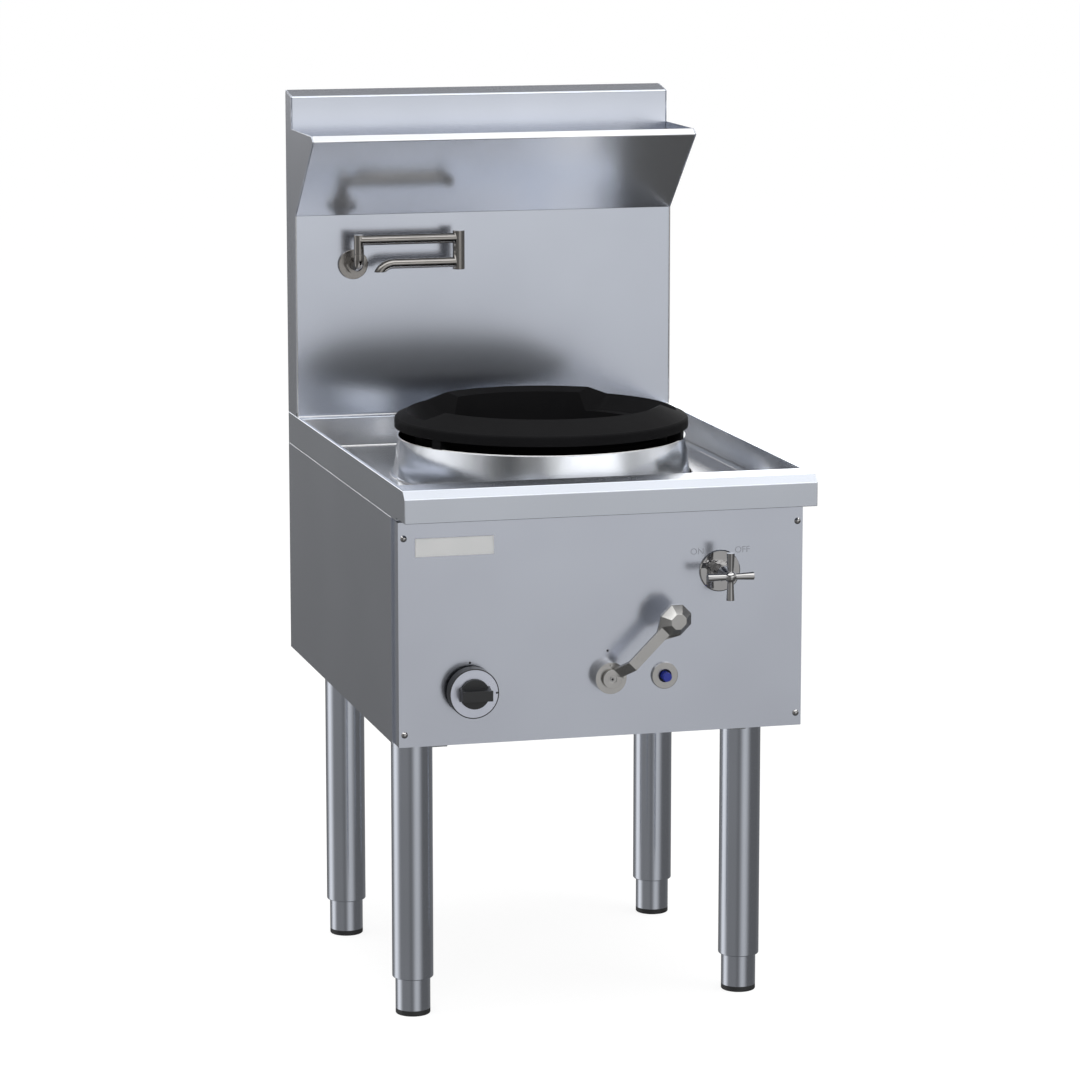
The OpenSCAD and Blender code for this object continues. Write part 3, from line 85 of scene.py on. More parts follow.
def centre(node):
    """Middle of a node's box."""
    low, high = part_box(node)
    return (low + high) / 2


def well_box():
    """The hob's well: the room between its walls, up to just under the rim."""
    least_area = 0.005
    under_rim = 2 * MM
    hob = NODES["hob_top"].data
    top = max(v.co.z for v in hob.vertices)
    wide = [face for face in hob.polygons if face.area > least_area]
    walls = [face for face in wide if abs(face.normal.y) > SQUARE]
    front = max(face.center.y for face in walls if face.normal.y > 0 and face.center.y < 0)
    back = min(face.center.y for face in walls if face.normal.y < 0 and face.center.y > 0)
    half = min(abs(face.center.x) for face in wide if abs(face.normal.x) > SQUARE)
    floor = min(face.center.z for face in wide if face.normal.z > SQUARE)
    return (Vector((-half - CLOSE, front - CLOSE, floor - CLOSE)),
            Vector((half + CLOSE, back + CLOSE, top - under_rim)))


# Colours and materials

def linear(hex_colour):
    """One sRGB hex colour as linear RGBA."""
    digits = hex_colour.lstrip("#")
    values = [int(digits[i:i + 2], 16) / 255 for i in (0, 2, 4)]
    lin = [v / 12.92 if v <= 0.04045 else ((v + 0.055) / 1.055) ** 2.4 for v in values]
    return (*lin, 1.0)


def add(tree, kind, inputs=None, **settings):
    """Adds a node, sets its settings, then fills or links its inputs."""
    made = tree.nodes.new(kind)
    for key, value in settings.items():
        setattr(made, key, value)
    for socket, value in (inputs or {}).items():
        if isinstance(value, bpy.types.NodeSocket):
            tree.links.new(value, made.inputs[socket])
        else:
            made.inputs[socket].default_value = value
    return made


def new_material(name, shader):
    """A material with one Principled shader; returns it, its tree and the shader node."""
    material = bpy.data.materials.new(name)
    material.use_nodes = True
    tree = material.node_tree
    tree.nodes.clear()
    surface = add(tree, "ShaderNodeBsdfPrincipled", shader)
    add(tree, "ShaderNodeOutputMaterial", {"Surface": surface.outputs["BSDF"]})
    return material, tree, surface


def object_space(tree, scale_mm, stretch=(1, 1, 1)):
    """Object coordinates scaled so that one pattern unit is scale_mm, stretched by axis."""
    place = add(tree, "ShaderNodeTexCoord")
    per_metre = 1 / (scale_mm * MM)
    scale = [per_metre / s for s in stretch]
    mapping = add(tree, "ShaderNodeMapping", {"Vector": place.outputs["Object"], "Scale": scale})
    return mapping.outputs["Vector"]


def vary(tree, surface, tone, tones, grain, roughness):
    """Takes a surface's colour from one pattern and its roughness from another, each
    between the two values given."""
    tint = add(tree, "ShaderNodeMix", {
        "Factor": tone, "A": tones[0], "B": tones[1]}, data_type="RGBA")
    tree.links.new(tint.outputs["Result"], surface.inputs["Base Color"])
    rough = add(tree, "ShaderNodeMapRange", {
        "Value": grain, "To Min": roughness[0], "To Max": roughness[1]})
    tree.links.new(rough.outputs["Result"], surface.inputs["Roughness"])


def brushed_sheet(name, tones, roughness, grain):
    """Stainless sheet, belt brushed: long faint lines along the grain and a soft blurred
    reflection. Real brush lines are 0.1 mm apart; they are drawn coarser so that they show."""
    grain_mm = 0.9
    cloud_mm = 180
    depth = 0.001
    material, tree, surface = new_material(name, {"Metallic": 1.0})
    fine = add(tree, "ShaderNodeTexNoise", {
        "Vector": object_space(tree, grain_mm, grain), "Scale": 1.0, "Detail": 3.0})
    cloud = add(tree, "ShaderNodeTexNoise", {
        "Vector": object_space(tree, cloud_mm), "Scale": 1.0, "Detail": 2.0})
    vary(tree, surface, cloud.outputs["Fac"], tones,
         fine.outputs["Fac"], (roughness * 0.96, roughness * 1.04))
    bump = add(tree, "ShaderNodeBump", {
        "Height": fine.outputs["Fac"], "Strength": depth, "Distance": 0.2 * MM})
    tree.links.new(bump.outputs["Normal"], surface.inputs["Normal"])
    return material


def polished_metal(name, tones, roughness, smear_mm=60):
    """Polished or plated metal: nearly mirror, with a faint wide change in its polish."""
    material, tree, surface = new_material(name, {"Metallic": 1.0})
    smear = add(tree, "ShaderNodeTexNoise", {
        "Vector": object_space(tree, smear_mm), "Scale": 1.0, "Detail": 4.0})
    vary(tree, surface, smear.outputs["Fac"], tones,
         smear.outputs["Fac"], (roughness * 0.7, roughness * 1.3))
    return material


def cast_iron(name, tones):
    """Sand-cast iron with a black heat-proof coat: fine pitted grain and dull soft gloss."""
    material, tree, surface = new_material(name, {"Metallic": 0.0, "Specular IOR Level": 0.02})
    grit = add(tree, "ShaderNodeTexNoise", {
        "Vector": object_space(tree, 1.4), "Scale": 1.0, "Detail": 5.0, "Roughness": 0.6})
    patch = add(tree, "ShaderNodeTexNoise", {
        "Vector": object_space(tree, 45), "Scale": 1.0, "Detail": 3.0})
    vary(tree, surface, patch.outputs["Fac"], tones, grit.outputs["Fac"], (0.46, 0.66))
    bump = add(tree, "ShaderNodeBump", {
        "Height": grit.outputs["Fac"], "Strength": 0.22, "Distance": 0.3 * MM})
    tree.links.new(bump.outputs["Normal"], surface.inputs["Normal"])
    return material


def moulded_plastic(name, tones, roughness, grain_mm=0.5, depth=0.08):
    """Moulded plastic: very fine spark-eroded grain, small change of shade."""
    material, tree, surface = new_material(name, {"Metallic": 0.0, "IOR": 1.5})
    grain = add(tree, "ShaderNodeTexNoise", {
        "Vector": object_space(tree, grain_mm), "Scale": 1.0, "Detail": 2.0})
    vary(tree, surface, grain.outputs["Fac"], tones,
         grain.outputs["Fac"], (roughness * 0.9, roughness * 1.1))
    bump = add(tree, "ShaderNodeBump", {
        "Height": grain.outputs["Fac"], "Strength": depth, "Distance": 0.1 * MM})
    tree.links.new(bump.outputs["Normal"], surface.inputs["Normal"])
    return material


def zinc_plate(name, tones):
    """Hot-dipped zinc: flat angular spangle a few millimetres across, dull."""
    material, tree, surface = new_material(name, {"Metallic": 1.0})
    spangle = add(tree, "ShaderNodeTexVoronoi", {
        "Vector": object_space(tree, 9), "Scale": 1.0})
    level = add(tree, "ShaderNodeSeparateColor", {"Color": spangle.outputs["Color"]})
    vary(tree, surface, level.outputs["Red"], tones, level.outputs["Green"], (0.38, 0.55))
    return material


def sooted_inside(material, tones):
    """Soot on the inner side of a round wall that stands about the z axis: matt black."""
    tree = material.node_tree
    surface = next(n for n in tree.nodes if n.type == "BSDF_PRINCIPLED")
    output = next(n for n in tree.nodes if n.type == "OUTPUT_MATERIAL")
    place = add(tree, "ShaderNodeTexCoord")
    outward = add(tree, "ShaderNodeVectorMath", {
        0: place.outputs["Object"], 1: (1, 1, 0)}, operation="MULTIPLY")
    facing = add(tree, "ShaderNodeVectorMath", {
        0: outward.outputs["Vector"], 1: place.outputs["Normal"]}, operation="DOT_PRODUCT")
    inside = add(tree, "ShaderNodeMath", {
        0: facing.outputs["Value"], 1: 0.0}, operation="LESS_THAN")
    flecks = add(tree, "ShaderNodeTexNoise", {
        "Vector": object_space(tree, 6), "Scale": 1.0, "Detail": 4.0})
    black = add(tree, "ShaderNodeMix", {
        "Factor": flecks.outputs["Fac"], "A": tones[0], "B": tones[1]}, data_type="RGBA")
    soot = add(tree, "ShaderNodeBsdfPrincipled", {
        "Base Color": black.outputs["Result"], "Roughness": 0.95, "Specular IOR Level": 0.05})
    both = add(tree, "ShaderNodeMixShader", {
        0: inside.outputs["Value"], 1: surface.outputs["BSDF"], 2: soot.outputs["BSDF"]})
    tree.links.new(both.outputs["Shader"], output.inputs["Surface"])
    return material


def neutral_well(material, grey):
    """Plain grey in the hob's well, by place, where its sheets mirror one another."""
    tree = material.node_tree
    surface = next(n for n in tree.nodes if n.type == "BSDF_PRINCIPLED")
    low, high = well_box()
    place = add(tree, "ShaderNodeTexCoord")
    offset = add(tree, "ShaderNodeVectorMath", {
        0: place.outputs["Object"], 1: (low + high) / 2}, operation="SUBTRACT")
    size = add(tree, "ShaderNodeVectorMath", {0: offset.outputs["Vector"]}, operation="ABSOLUTE")
    past = add(tree, "ShaderNodeVectorMath", {
        0: size.outputs["Vector"], 1: (high - low) / 2}, operation="SUBTRACT")
    axes = add(tree, "ShaderNodeSeparateXYZ", {"Vector": past.outputs["Vector"]})
    flat = add(tree, "ShaderNodeMath", {
        0: axes.outputs["X"], 1: axes.outputs["Y"]}, operation="MAXIMUM")
    furthest = add(tree, "ShaderNodeMath", {
        0: flat.outputs["Value"], 1: axes.outputs["Z"]}, operation="MAXIMUM")
    inside = add(tree, "ShaderNodeMath", {
        0: furthest.outputs["Value"], 1: 0.0}, operation="LESS_THAN")
    sheet = surface.inputs["Base Color"].links[0].from_socket
    mixed = add(tree, "ShaderNodeMix", {
        "Factor": inside.outputs["Value"], "A": sheet, "B": grey}, data_type="RGBA")
    tree.links.new(mixed.outputs["Result"], surface.inputs["Base Color"])
    return material


# Each finish by its label, its colour and the shade that its pattern passes into
TONES = {
    "front": ("Front sheet", "#dde2ed", "#d1d5e0"),
    "hob": ("Hob sheet", "#dde2eb", "#d2d7e0"),
    "side": ("Side sheets", "#d5d9e3", "#c8ccd5"),
    "splash": ("Splashback sheets", "#dadfea", "#ced3de"),
    "deflector": ("Sloping sheet", "#e3e5e9", "#d9dbdf"),
    "badge": ("Blank plate", "#fafafa", "#f8fafa"),
    "tube": ("Leg tubes", "#e4e9f4", "#d7dce6"),
    "edge": ("Rolled edges and welds", "#fafafa", "#fafafa"),
    "chimney": ("Chimney", "#f4f8fa", "#e2e5ee"),
    "soot": ("Soot", "#070707", "#0d0c0c"),
    "drain": ("Drain", "#edf0f8", "#d9dde5"),
    "satin": ("Cast controls", "#cccbc9", "#bdbcba"),
    "faucet": ("Faucet", "#a6a29f", "#93918d"),
    "chrome": ("Chrome plate", "#c3c2c2", "#b7b6b6"),
    "silver": ("Dial ring", "#e6eaf7", "#dbdfec"),
    "iron": ("Cast iron", "#141415", "#19191a"),
    "heated": ("Firebox", "#060606", "#0b0a0a"),
    "zinc": ("Galvanised steel", "#a9adb0", "#8f9396"),
    "bronze": ("Bronze blocks", "#8a6c5c", "#6b5347"),
    "brass": ("Brass", "#c2a05a", "#a88745"),
    "copper": ("Copper", "#bd7b4e", "#9c5e39"),
    "knob": ("Knob", "#1c1d1f", "#232426"),
    "foot": ("Foot caps", "#232425", "#2b2c2d"),
    "cable": ("Lead", "#242425", "#2c2c2d"),
    "button": ("Button", "#18267f", "#1c2b8c"),
    "mark": ("Printed words", "#8f929a", "#979aa2"),
    # Near black put into the panel's index holes and the lever screw's socket: painted shade
    "dark": ("Painted shade in recesses", "#0c0c0d", "#131314"),
}


def make_finishes(colours):
    """Every finish of the range, by the name that FINISH_OF_NODE and the pieces use."""
    tones = {key: (tuple(getattr(colours, key)), tuple(getattr(colours, f"{key}_shade")))
             for key in TONES}
    stretch = 400
    across = (stretch, 1, 1)
    along = (1, stretch, 1)
    upright = (1, 1, stretch)
    return {
        "front": brushed_sheet("Brushed stainless front", tones["front"], 0.21, across),
        "hob": neutral_well(
            brushed_sheet("Brushed stainless hob", tones["hob"], 0.2, across),
            tuple(colours.well)),
        "side": brushed_sheet("Brushed stainless side", tones["side"], 0.22, along),
        "splash": brushed_sheet("Brushed stainless splashback", tones["splash"], 0.2, across),
        "deflector": brushed_sheet("Brushed stainless deflector", tones["deflector"], 0.2, across),
        "badge": polished_metal("Blank aluminium plate", tones["badge"], 0.35, 30),
        "tube": brushed_sheet("Polished stainless tube", tones["tube"], 0.17, upright),
        "edge": polished_metal("Rolled stainless edge", tones["edge"], 0.2),
        "chimney": sooted_inside(
            polished_metal("Polished stainless chimney", tones["chimney"], 0.15),
            tones["soot"]),
        "drain": polished_metal("Polished stainless drain", tones["drain"], 0.2, 20),
        "satin": polished_metal("Satin cast stainless", tones["satin"], 0.24, 20),
        "faucet": polished_metal("Satin faucet tube", tones["faucet"], 0.22, 30),
        "chrome": polished_metal("Chrome plate", tones["chrome"], 0.06, 30),
        "silver": polished_metal("Anodised dial ring", tones["silver"], 0.3, 20),
        "iron": cast_iron("Cast iron, black coat", tones["iron"]),
        "heated": cast_iron("Soot-black steel", tones["heated"]),
        "zinc": zinc_plate("Galvanised steel", tones["zinc"]),
        "bronze": polished_metal("Oxidised bronze", tones["bronze"], 0.45, 10),
        "brass": polished_metal("Machined brass", tones["brass"], 0.25, 15),
        "copper": polished_metal("Drawn copper pipe", tones["copper"], 0.3, 25),
        "knob": moulded_plastic("Black phenolic knob", tones["knob"], 0.38),
        "foot": moulded_plastic("Black nylon foot", tones["foot"], 0.5, 0.8),
        "cable": moulded_plastic("Silicone lead", tones["cable"], 0.6, 1.2),
        "button": moulded_plastic("Blue acetal button", tones["button"], 0.4, 0.5, 0.03),
        "mark": moulded_plastic("Printed grey mark", tones["mark"], 0.6, 0.5, 0.03),
        # Painted shade for holes and recesses
        "dark": moulded_plastic("Dark recess", tones["dark"], 0.7),
    }


FINISH = {}

FINISH_OF_NODE = {
    "front": ["front_panel"],
    "badge": ["badge_plate"],
    "hob": ["hob_top"],
    "side": ["side_panel_left", "side_panel_right", "splash_side_left", "splash_side_right"],
    "splash": ["splash_panel", "splash_riser"],
    "deflector": ["deflector"],
    "zinc": ["rear_panel", "splash_back", "base_frame", "gas_manifold", "leg_sockets", "leg_bolts"],
    "chimney": ["chimney"],
    "drain": ["drain_outlet", "drain_strainer"],
    "heated": ["firebox"],
    "iron": ["wok_ring", "burner_head", "venturi"],
    "brass": ["main_valve", "main_gas_pipe", "pilot_valve", "knob_spindle"],
    "copper": ["pilot_burner", "water_pipes"],
    "cable": ["spark_electrode", "igniter_body"],
    "knob": ["knob_body"],
    "silver": ["knob_ring"],
    "satin": ["lever_collar", "lever_arm", "lever_head", "igniter_flange"],
    "faucet": ["faucet_flange", "faucet_nut", "faucet_riser", "faucet_arm", "faucet_spout"],
    "chrome": ["lever_screw", "panel_screws", "tap_flange", "water_valve", "tap_cross"],
    "button": ["igniter_button"],
    "tube": [f"{part}_{end}_{side}" for part in ("leg", "foot") for end in ("front", "rear")
             for side in ("left", "right")],
    "foot": [f"cap_{end}_{side}" for end in ("front", "rear") for side in ("left", "right")],
}


def dress_nodes():
    """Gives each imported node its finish."""
    for finish, nodes in FINISH_OF_NODE.items():
        for name in nodes:
            for place in NODES[name].material_slots:
                place.material = FINISH[finish]


def finish_of(node):
    """The finish that a node has."""
    return next(finish for finish, nodes in FINISH_OF_NODE.items() if node in nodes)


# Pieces

def put_object(name, data):
    """A new object in the scene."""
    made = bpy.data.objects.new(name, data)
    bpy.context.scene.collection.objects.link(made)
    return made


def finish_mesh(bm, name, finish, body):
    """Turns a bmesh into a piece that rides on a body."""
    least_sharp = math.radians(35)
    bmesh.ops.remove_doubles(bm, verts=bm.verts, dist=MERGE)
    bmesh.ops.recalc_face_normals(bm, faces=bm.faces)
    mesh = bpy.data.meshes.new(name)
    bm.to_mesh(mesh)
    bm.free()
    mesh.shade_smooth()
    mesh.set_sharp_from_angle(angle=least_sharp)
    mesh.materials.append(FINISH[finish])
    piece = put_object(name, mesh)
    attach(piece, body)


def bake(piece):
    """Bakes a piece's modifiers into its mesh."""
    graph = bpy.context.evaluated_depsgraph_get()
    graph.update()
    baked = bpy.data.meshes.new_from_object(piece.evaluated_get(graph))
    piece.modifiers.clear()
    piece.data = baked


def on_panel(x, z, y=PANEL_Y):
    """Frame on an upright sheet: x across, y up, z out towards the user."""
    turn = Matrix(((1, 0, 0), (0, 0, -1), (0, 1, 0))).to_4x4()
    return Matrix.Translation((x, y, z)) @ turn


def islands(bm):
    """The separate closed shells of a mesh, each as a list of faces."""
    left = set(bm.faces)
    found = []
    while left:
        stack = [left.pop()]
        shell = []
        while stack:
            face = stack.pop()
            shell.append(face)
            for edge in face.edges:
                for other in edge.link_faces:
                    if other in left:
                        left.remove(other)
                        stack.append(other)
        found.append(shell)
    return found


def width_of(face, edge):
    """How wide a face is, straight across from the middle of one of its edges."""
    parallel = 1e-9
    least_depth = 1e-7
    loop = next(corner for corner in edge.link_loops if corner.face == face)
    start = loop.vert.co
    end = loop.link_loop_next.vert.co
    middle = (start + end) / 2
    along = (end - start).normalized()
    inward = face.normal.cross(along)
    nearest = math.inf
    for other in face.edges:
        near, far = (corner.co - middle for corner in other.verts)
        before = near.dot(along)
        after = far.dot(along)
        if other == edge or before * after > 0 or abs(before - after) < parallel:
            continue
        depth = near.lerp(far, before / (before - after)).dot(inward)
        if depth > least_depth:
            nearest = min(nearest, depth)
    return nearest


def round_edges(nodes, radius, steps=3, finish=None, keep=None, suffix="rounded"):
    """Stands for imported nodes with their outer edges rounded, as folding, casting or
    tumbling leaves them. Inner corners stay as they are, and a narrow face gets less. keep
    picks some of a node's shells by their middle."""
    flat = math.radians(0.3)
    least_corner = math.radians(20)
    least_sharp = math.radians(35)
    radii_across = 2.2
    for node in nodes:
        bm = bmesh.new()
        bm.from_mesh(NODES[node].data)
        bmesh.ops.remove_doubles(bm, verts=bm.verts, dist=MERGE)
        if keep:
            for shell in islands(bm):
                places = [v.co for face in shell for v in face.verts]
                if not keep(sum(places, Vector()) / len(places)):
                    bmesh.ops.delete(bm, geom=shell, context="FACES")
        bmesh.ops.dissolve_limit(bm, angle_limit=flat, verts=bm.verts, edges=bm.edges,
                                 delimit=set())
        weight = bm.edges.layers.float.new("bevel_weight_edge")
        for edge in bm.edges:
            faces = edge.link_faces
            if len(faces) == 2 and edge.is_convex:
                if faces[0].normal.angle(faces[1].normal, 0) > least_corner:
                    narrow = min(width_of(face, edge) for face in faces)
                    edge[weight] = min(1.0, narrow / (radii_across * radius))
        mesh = bpy.data.meshes.new(f"{node}_{suffix}")
        bm.to_mesh(mesh)
        bm.free()
        piece = put_object(f"{node}_{suffix}", mesh)
        bevel = piece.modifiers.new("Rounded edges", "BEVEL")
        bevel.limit_method = "WEIGHT"
        bevel.width = radius
        bevel.segments = steps
        mesh.shade_smooth()
        mesh.set_sharp_from_angle(angle=least_sharp)
        even = piece.modifiers.new("Even faces", "WEIGHTED_NORMAL")
        even.keep_sharp = True
        bake(piece)
        piece.data.materials.clear()
        piece.data.materials.append(FINISH[finish or finish_of(node)])
        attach(piece, NODES[node]["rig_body"])
        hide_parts(node)


def lathe(bm, profile, place, steps=64):
    """Turns (radius, height) points round the z axis of a frame; ends at the axis are closed."""
    rings = []
    for radius, height in profile:
        if radius < MERGE:
            rings.append([bm.verts.new(place @ Vector((0, 0, height)))])
            continue
        ring = []
        for i in range(steps):
            a = 2 * math.pi * i / steps
            spot = Vector((radius * math.cos(a), radius * math.sin(a), height))
            ring.append(bm.verts.new(place @ spot))
        rings.append(ring)
    for low, high in zip(rings, rings[1:]):
        for i in range(steps):
            j = (i + 1) % steps
            corners = [low[i % len(low)], low[j % len(low)],
                       high[j % len(high)], high[i % len(high)]]
            unique = list(dict.fromkeys(corners))
            if len(unique) > 2:
                bm.faces.new(unique)


def follow_paths(name, paths, radius, body):
    """A round bead along open or closed paths, made by Geometry Nodes from a mesh of edges."""
    mesh = bpy.data.meshes.new(name)
    points = []
    edges = []
    for path in paths:
        start = len(points)
        if path[0] == path[-1]:
            path = path[:-1]
            edges.append((start + len(path) - 1, start))
        edges += [(start + i, start + i + 1) for i in range(len(path) - 1)]
        points += path
    mesh.from_pydata(points, edges, [])
    piece = put_object(name, mesh)
    modifier = piece.modifiers.new("Bead", "NODES")
    modifier.node_group = bead_tree()
    set_inputs(modifier, {"Bead radius": radius, "Finish": FINISH["edge"]})
    bake(piece)
    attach(piece, body)


def set_inputs(modifier, values):
    """Sets a Geometry Nodes modifier's inputs by the sockets' identifiers."""
    for item in modifier.node_group.interface.items_tree:
        if item.item_type == "SOCKET" and item.in_out == "INPUT" and item.name in values:
            modifier[item.identifier] = values[item.name]


def new_tree(name, inputs):
    """A Geometry Nodes tree with named inputs; returns it with its input and output nodes."""
    tree = bpy.data.node_groups.new(name, "GeometryNodeTree")
    tree.interface.new_socket("Geometry", in_out="INPUT", socket_type="NodeSocketGeometry")
    for label, kind, default in inputs:
        socket = tree.interface.new_socket(label, in_out="INPUT", socket_type=kind)
        if default is not None:
            socket.default_value = default
    tree.interface.new_socket("Geometry", in_out="OUTPUT", socket_type="NodeSocketGeometry")
    return tree, tree.nodes.new("NodeGroupInput"), tree.nodes.new("NodeGroupOutput")


def close_tree(tree, source, geometry, output):
    """Ends a tree in Realize Instances and Set Material."""
    real = add(tree, "GeometryNodeRealizeInstances", {"Geometry": geometry})
    painted = add(tree, "GeometryNodeSetMaterial", {
        "Geometry": real.outputs["Geometry"], "Material": source.outputs["Finish"]})
    tree.links.new(painted.outputs["Geometry"], output.inputs["Geometry"])


def bead_tree():
    """Sweeps a small circle along the edges of a mesh."""
    found = bpy.data.node_groups.get("Folded edge bead")
    if found:
        return found
    tree, source, output = new_tree("Folded edge bead", [
        ("Bead radius", "NodeSocketFloat", 0.0006), ("Sides", "NodeSocketInt", 8),
        ("Finish", "NodeSocketMaterial", None)])
    curve = add(tree, "GeometryNodeMeshToCurve", {"Mesh": source.outputs["Geometry"]})
    ring = add(tree, "GeometryNodeCurvePrimitiveCircle", {
        "Resolution": source.outputs["Sides"], "Radius": source.outputs["Bead radius"]})
    swept = add(tree, "GeometryNodeCurveToMesh", {
        "Curve": curve.outputs["Curve"], "Profile Curve": ring.outputs["Curve"],
        "Fill Caps": True})
    close_tree(tree, source, swept.outputs["Mesh"], output)
    return tree


def seal_seams(sizes):
    """Thin ground welds where the splashback meets the hob and its side sheets."""
    proud = sizes.seam_radius * 0.3
    low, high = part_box("splash_panel")
    y = low.y - proud
    foot = low.z + proud
    paths = [
        [(low.x, y, foot), (high.x, y, foot)],
        [(low.x, y, foot), (low.x, y, high.z)],
        [(high.x, y, foot), (high.x, y, high.z)],
    ]
    follow_paths("splash_seams", paths, sizes.seam_radius, "range")


def round_path(node, z, outward):
    """A closed circle round a node at a height, outward from its widest point there."""
    steps = 96
    middle = centre(node)
    near = [v.co for v in NODES[node].data.vertices if abs(v.co.z - z) < CLOSE]
    radius = max((p - middle).to_2d().length for p in near) + outward
    turns = [2 * math.pi * i / steps for i in range(steps)]
    path = [(middle.x + radius * math.cos(a), middle.y + radius * math.sin(a), z) for a in turns]
    return path + path[:1]


def chimney_beads(sizes):
    """The rolled rim of the chimney and the ground weld at its foot."""
    low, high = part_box("chimney")
    bead = sizes.rim_bead
    rim_proud = bead * 0.2
    foot_proud = bead * 0.6
    rim = round_path("chimney", high.z, rim_proud)
    foot = round_path("chimney", low.z, foot_proud)
    follow_paths("chimney_rim", [rim], bead, "range")
    follow_paths("chimney_weld", [foot], bead, "range")


def scoop_web(sizes):
    """Cast web inside the wok ring, between its skirt and the foot of its scoops."""
    ring = NODES["wok_ring"].data
    middle = centre("wok_ring")
    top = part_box("wok_ring")[1].z
    ledges = [face for face in ring.polygons
              if face.normal.z > SQUARE and face.center.z < top - sizes.scoop_depth]
    height = max(face.center.z for face in ledges)
    corners = [ring.vertices[i].co for face in ledges for i in face.vertices
               if face.center.z > height - HAIR]
    inner = min((corner - middle).to_2d().length for corner in corners) + sizes.web_thick
    outer = inner + sizes.web_width
    low = height - sizes.web_thick
    high = height - HAIR
    bm = bmesh.new()
    lathe(bm, [(inner, low), (outer, low), (outer, high), (inner, high), (inner, low)],
          Matrix.Translation((middle.x, middle.y, 0)))
    finish_mesh(bm, "ring_scoop_web", "iron", "ring")


def well_welds(sizes):
    """Ground welds along the front and rear foot of the hob's well."""
    low, high = well_box()
    bead = sizes.seam_radius
    paths = []
    for y in (low.y + bead, high.y - bead):
        paths.append([(low.x + sizes.fall_width, y, low.z + bead),
                      (high.x - sizes.fall_width, y, low.z + bead)])
    follow_paths("well_welds", paths, bead, "range")


def side_folds(sizes):
    """Folded top edges of the side sheets, under the hob's skirt."""
    for side in ("left", "right"):
        low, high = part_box(f"side_panel_{side}")
        bead = sizes.fold_bead
        x = low.x + bead if side == "left" else high.x - bead
        z = high.z - bead / 2
        path = [(x, low.y + bead, z), (x, high.y - bead, z)]
        follow_paths(f"side_fold_{side}", [path], bead, "range")


DOT_STEPS = 24


def panel_hole_shade(sizes):
    """Small black discs in the panel's index holes, above the knob and the lever: painted shade in
    the holes.
    """
    for name, node, rise in (("knob", "knob_ring", sizes.knob_index),
                             ("lever", "lever_collar", sizes.lever_index)):
        middle = centre(node)
        place = on_panel(middle.x, middle.z + rise)
        bm = bmesh.new()
        r = sizes.index_radius
        face = sizes.print_rise
        lathe(bm, [(0, -r / 2), (r, -r / 2), (r, face), (0, face)], place, DOT_STEPS)
        finish_mesh(bm, f"index_dot_{name}", "dark", "range")


def lever_socket_shade():
    """A dark hexagon in the lever's screw: painted shade where its socket is."""
    sides = 6
    proud = HAIR / 2
    low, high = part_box("lever_screw")
    middle = (low + high) / 2
    across = (high.x - low.x) / 4
    place = on_panel(middle.x, middle.z, low.y)
    bm = bmesh.new()
    lathe(bm, [(0, -across), (across, -across), (across, proud), (0, proud)], place, sides)
    finish_mesh(bm, "lever_screw_socket", "dark", "lever")


def knob_pointer(sizes):
    """A black dot printed at the edge of the knob's silver ring."""
    low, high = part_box("knob_ring")
    middle = (low + high) / 2
    place = on_panel(middle.x + (high.x - low.x) / 2 - sizes.pointer_radius, middle.z, low.y)
    bm = bmesh.new()
    r = sizes.pointer_radius
    face = sizes.print_rise
    lathe(bm, [(0, 0), (r, 0), (r, face), (0, face)], place, DOT_STEPS)
    finish_mesh(bm, "knob_pointer", "knob", "knob")


def write_marks(sizes):
    """The generic words beside the water tap, as thin printed marks."""
    tap = centre("tap_flange")
    for word, shift in (("ON", -sizes.mark_spread), ("OFF", sizes.mark_spread)):
        curve = bpy.data.curves.new(f"mark_{word.lower()}", "FONT")
        curve.body = word
        curve.size = sizes.mark_height
        curve.align_x = "CENTER"
        curve.align_y = "CENTER"
        curve.extrude = sizes.print_rise
        words = put_object(f"mark_{word.lower()}", curve)
        graph = bpy.context.evaluated_depsgraph_get()
        mesh = bpy.data.meshes.new_from_object(words.evaluated_get(graph))
        bpy.data.objects.remove(words)
        mesh.transform(on_panel(tap.x + shift, tap.z + sizes.mark_rise))
        mesh.materials.clear()
        mesh.materials.append(FINISH["mark"])
        piece = put_object(f"mark_{word.lower()}", mesh)
        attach(piece, "range")


# Studio

def soft_box(name, size, power, spot):
    """An area lamp that looks at the range; metal sees the screens in its place."""
    hob_height = 0.8
    target = Vector((0, 0, hob_height))
    lamp = bpy.data.lights.new(name, "AREA")
    lamp.shape = "RECTANGLE"
    lamp.size, lamp.size_y = size
    lamp.energy = power
    light = put_object(name, lamp)
    light.location = spot
    aim = target - Vector(spot)
    light.rotation_euler = aim.to_track_quat("-Z", "Y").to_euler()
    light.visible_glossy = False


def seen_directly(tree):
    """1 for rays from the camera or by way of metal and glass, 0 for those that light."""
    path = add(tree, "ShaderNodeLightPath")
    seen = add(tree, "ShaderNodeMath", {
        0: path.outputs["Is Camera Ray"], 1: path.outputs["Is Glossy Ray"]}, operation="MAXIMUM")
    return add(tree, "ShaderNodeMath", {
        0: seen.outputs["Value"], 1: path.outputs["Is Transmission Ray"]},
        operation="MAXIMUM").outputs["Value"]


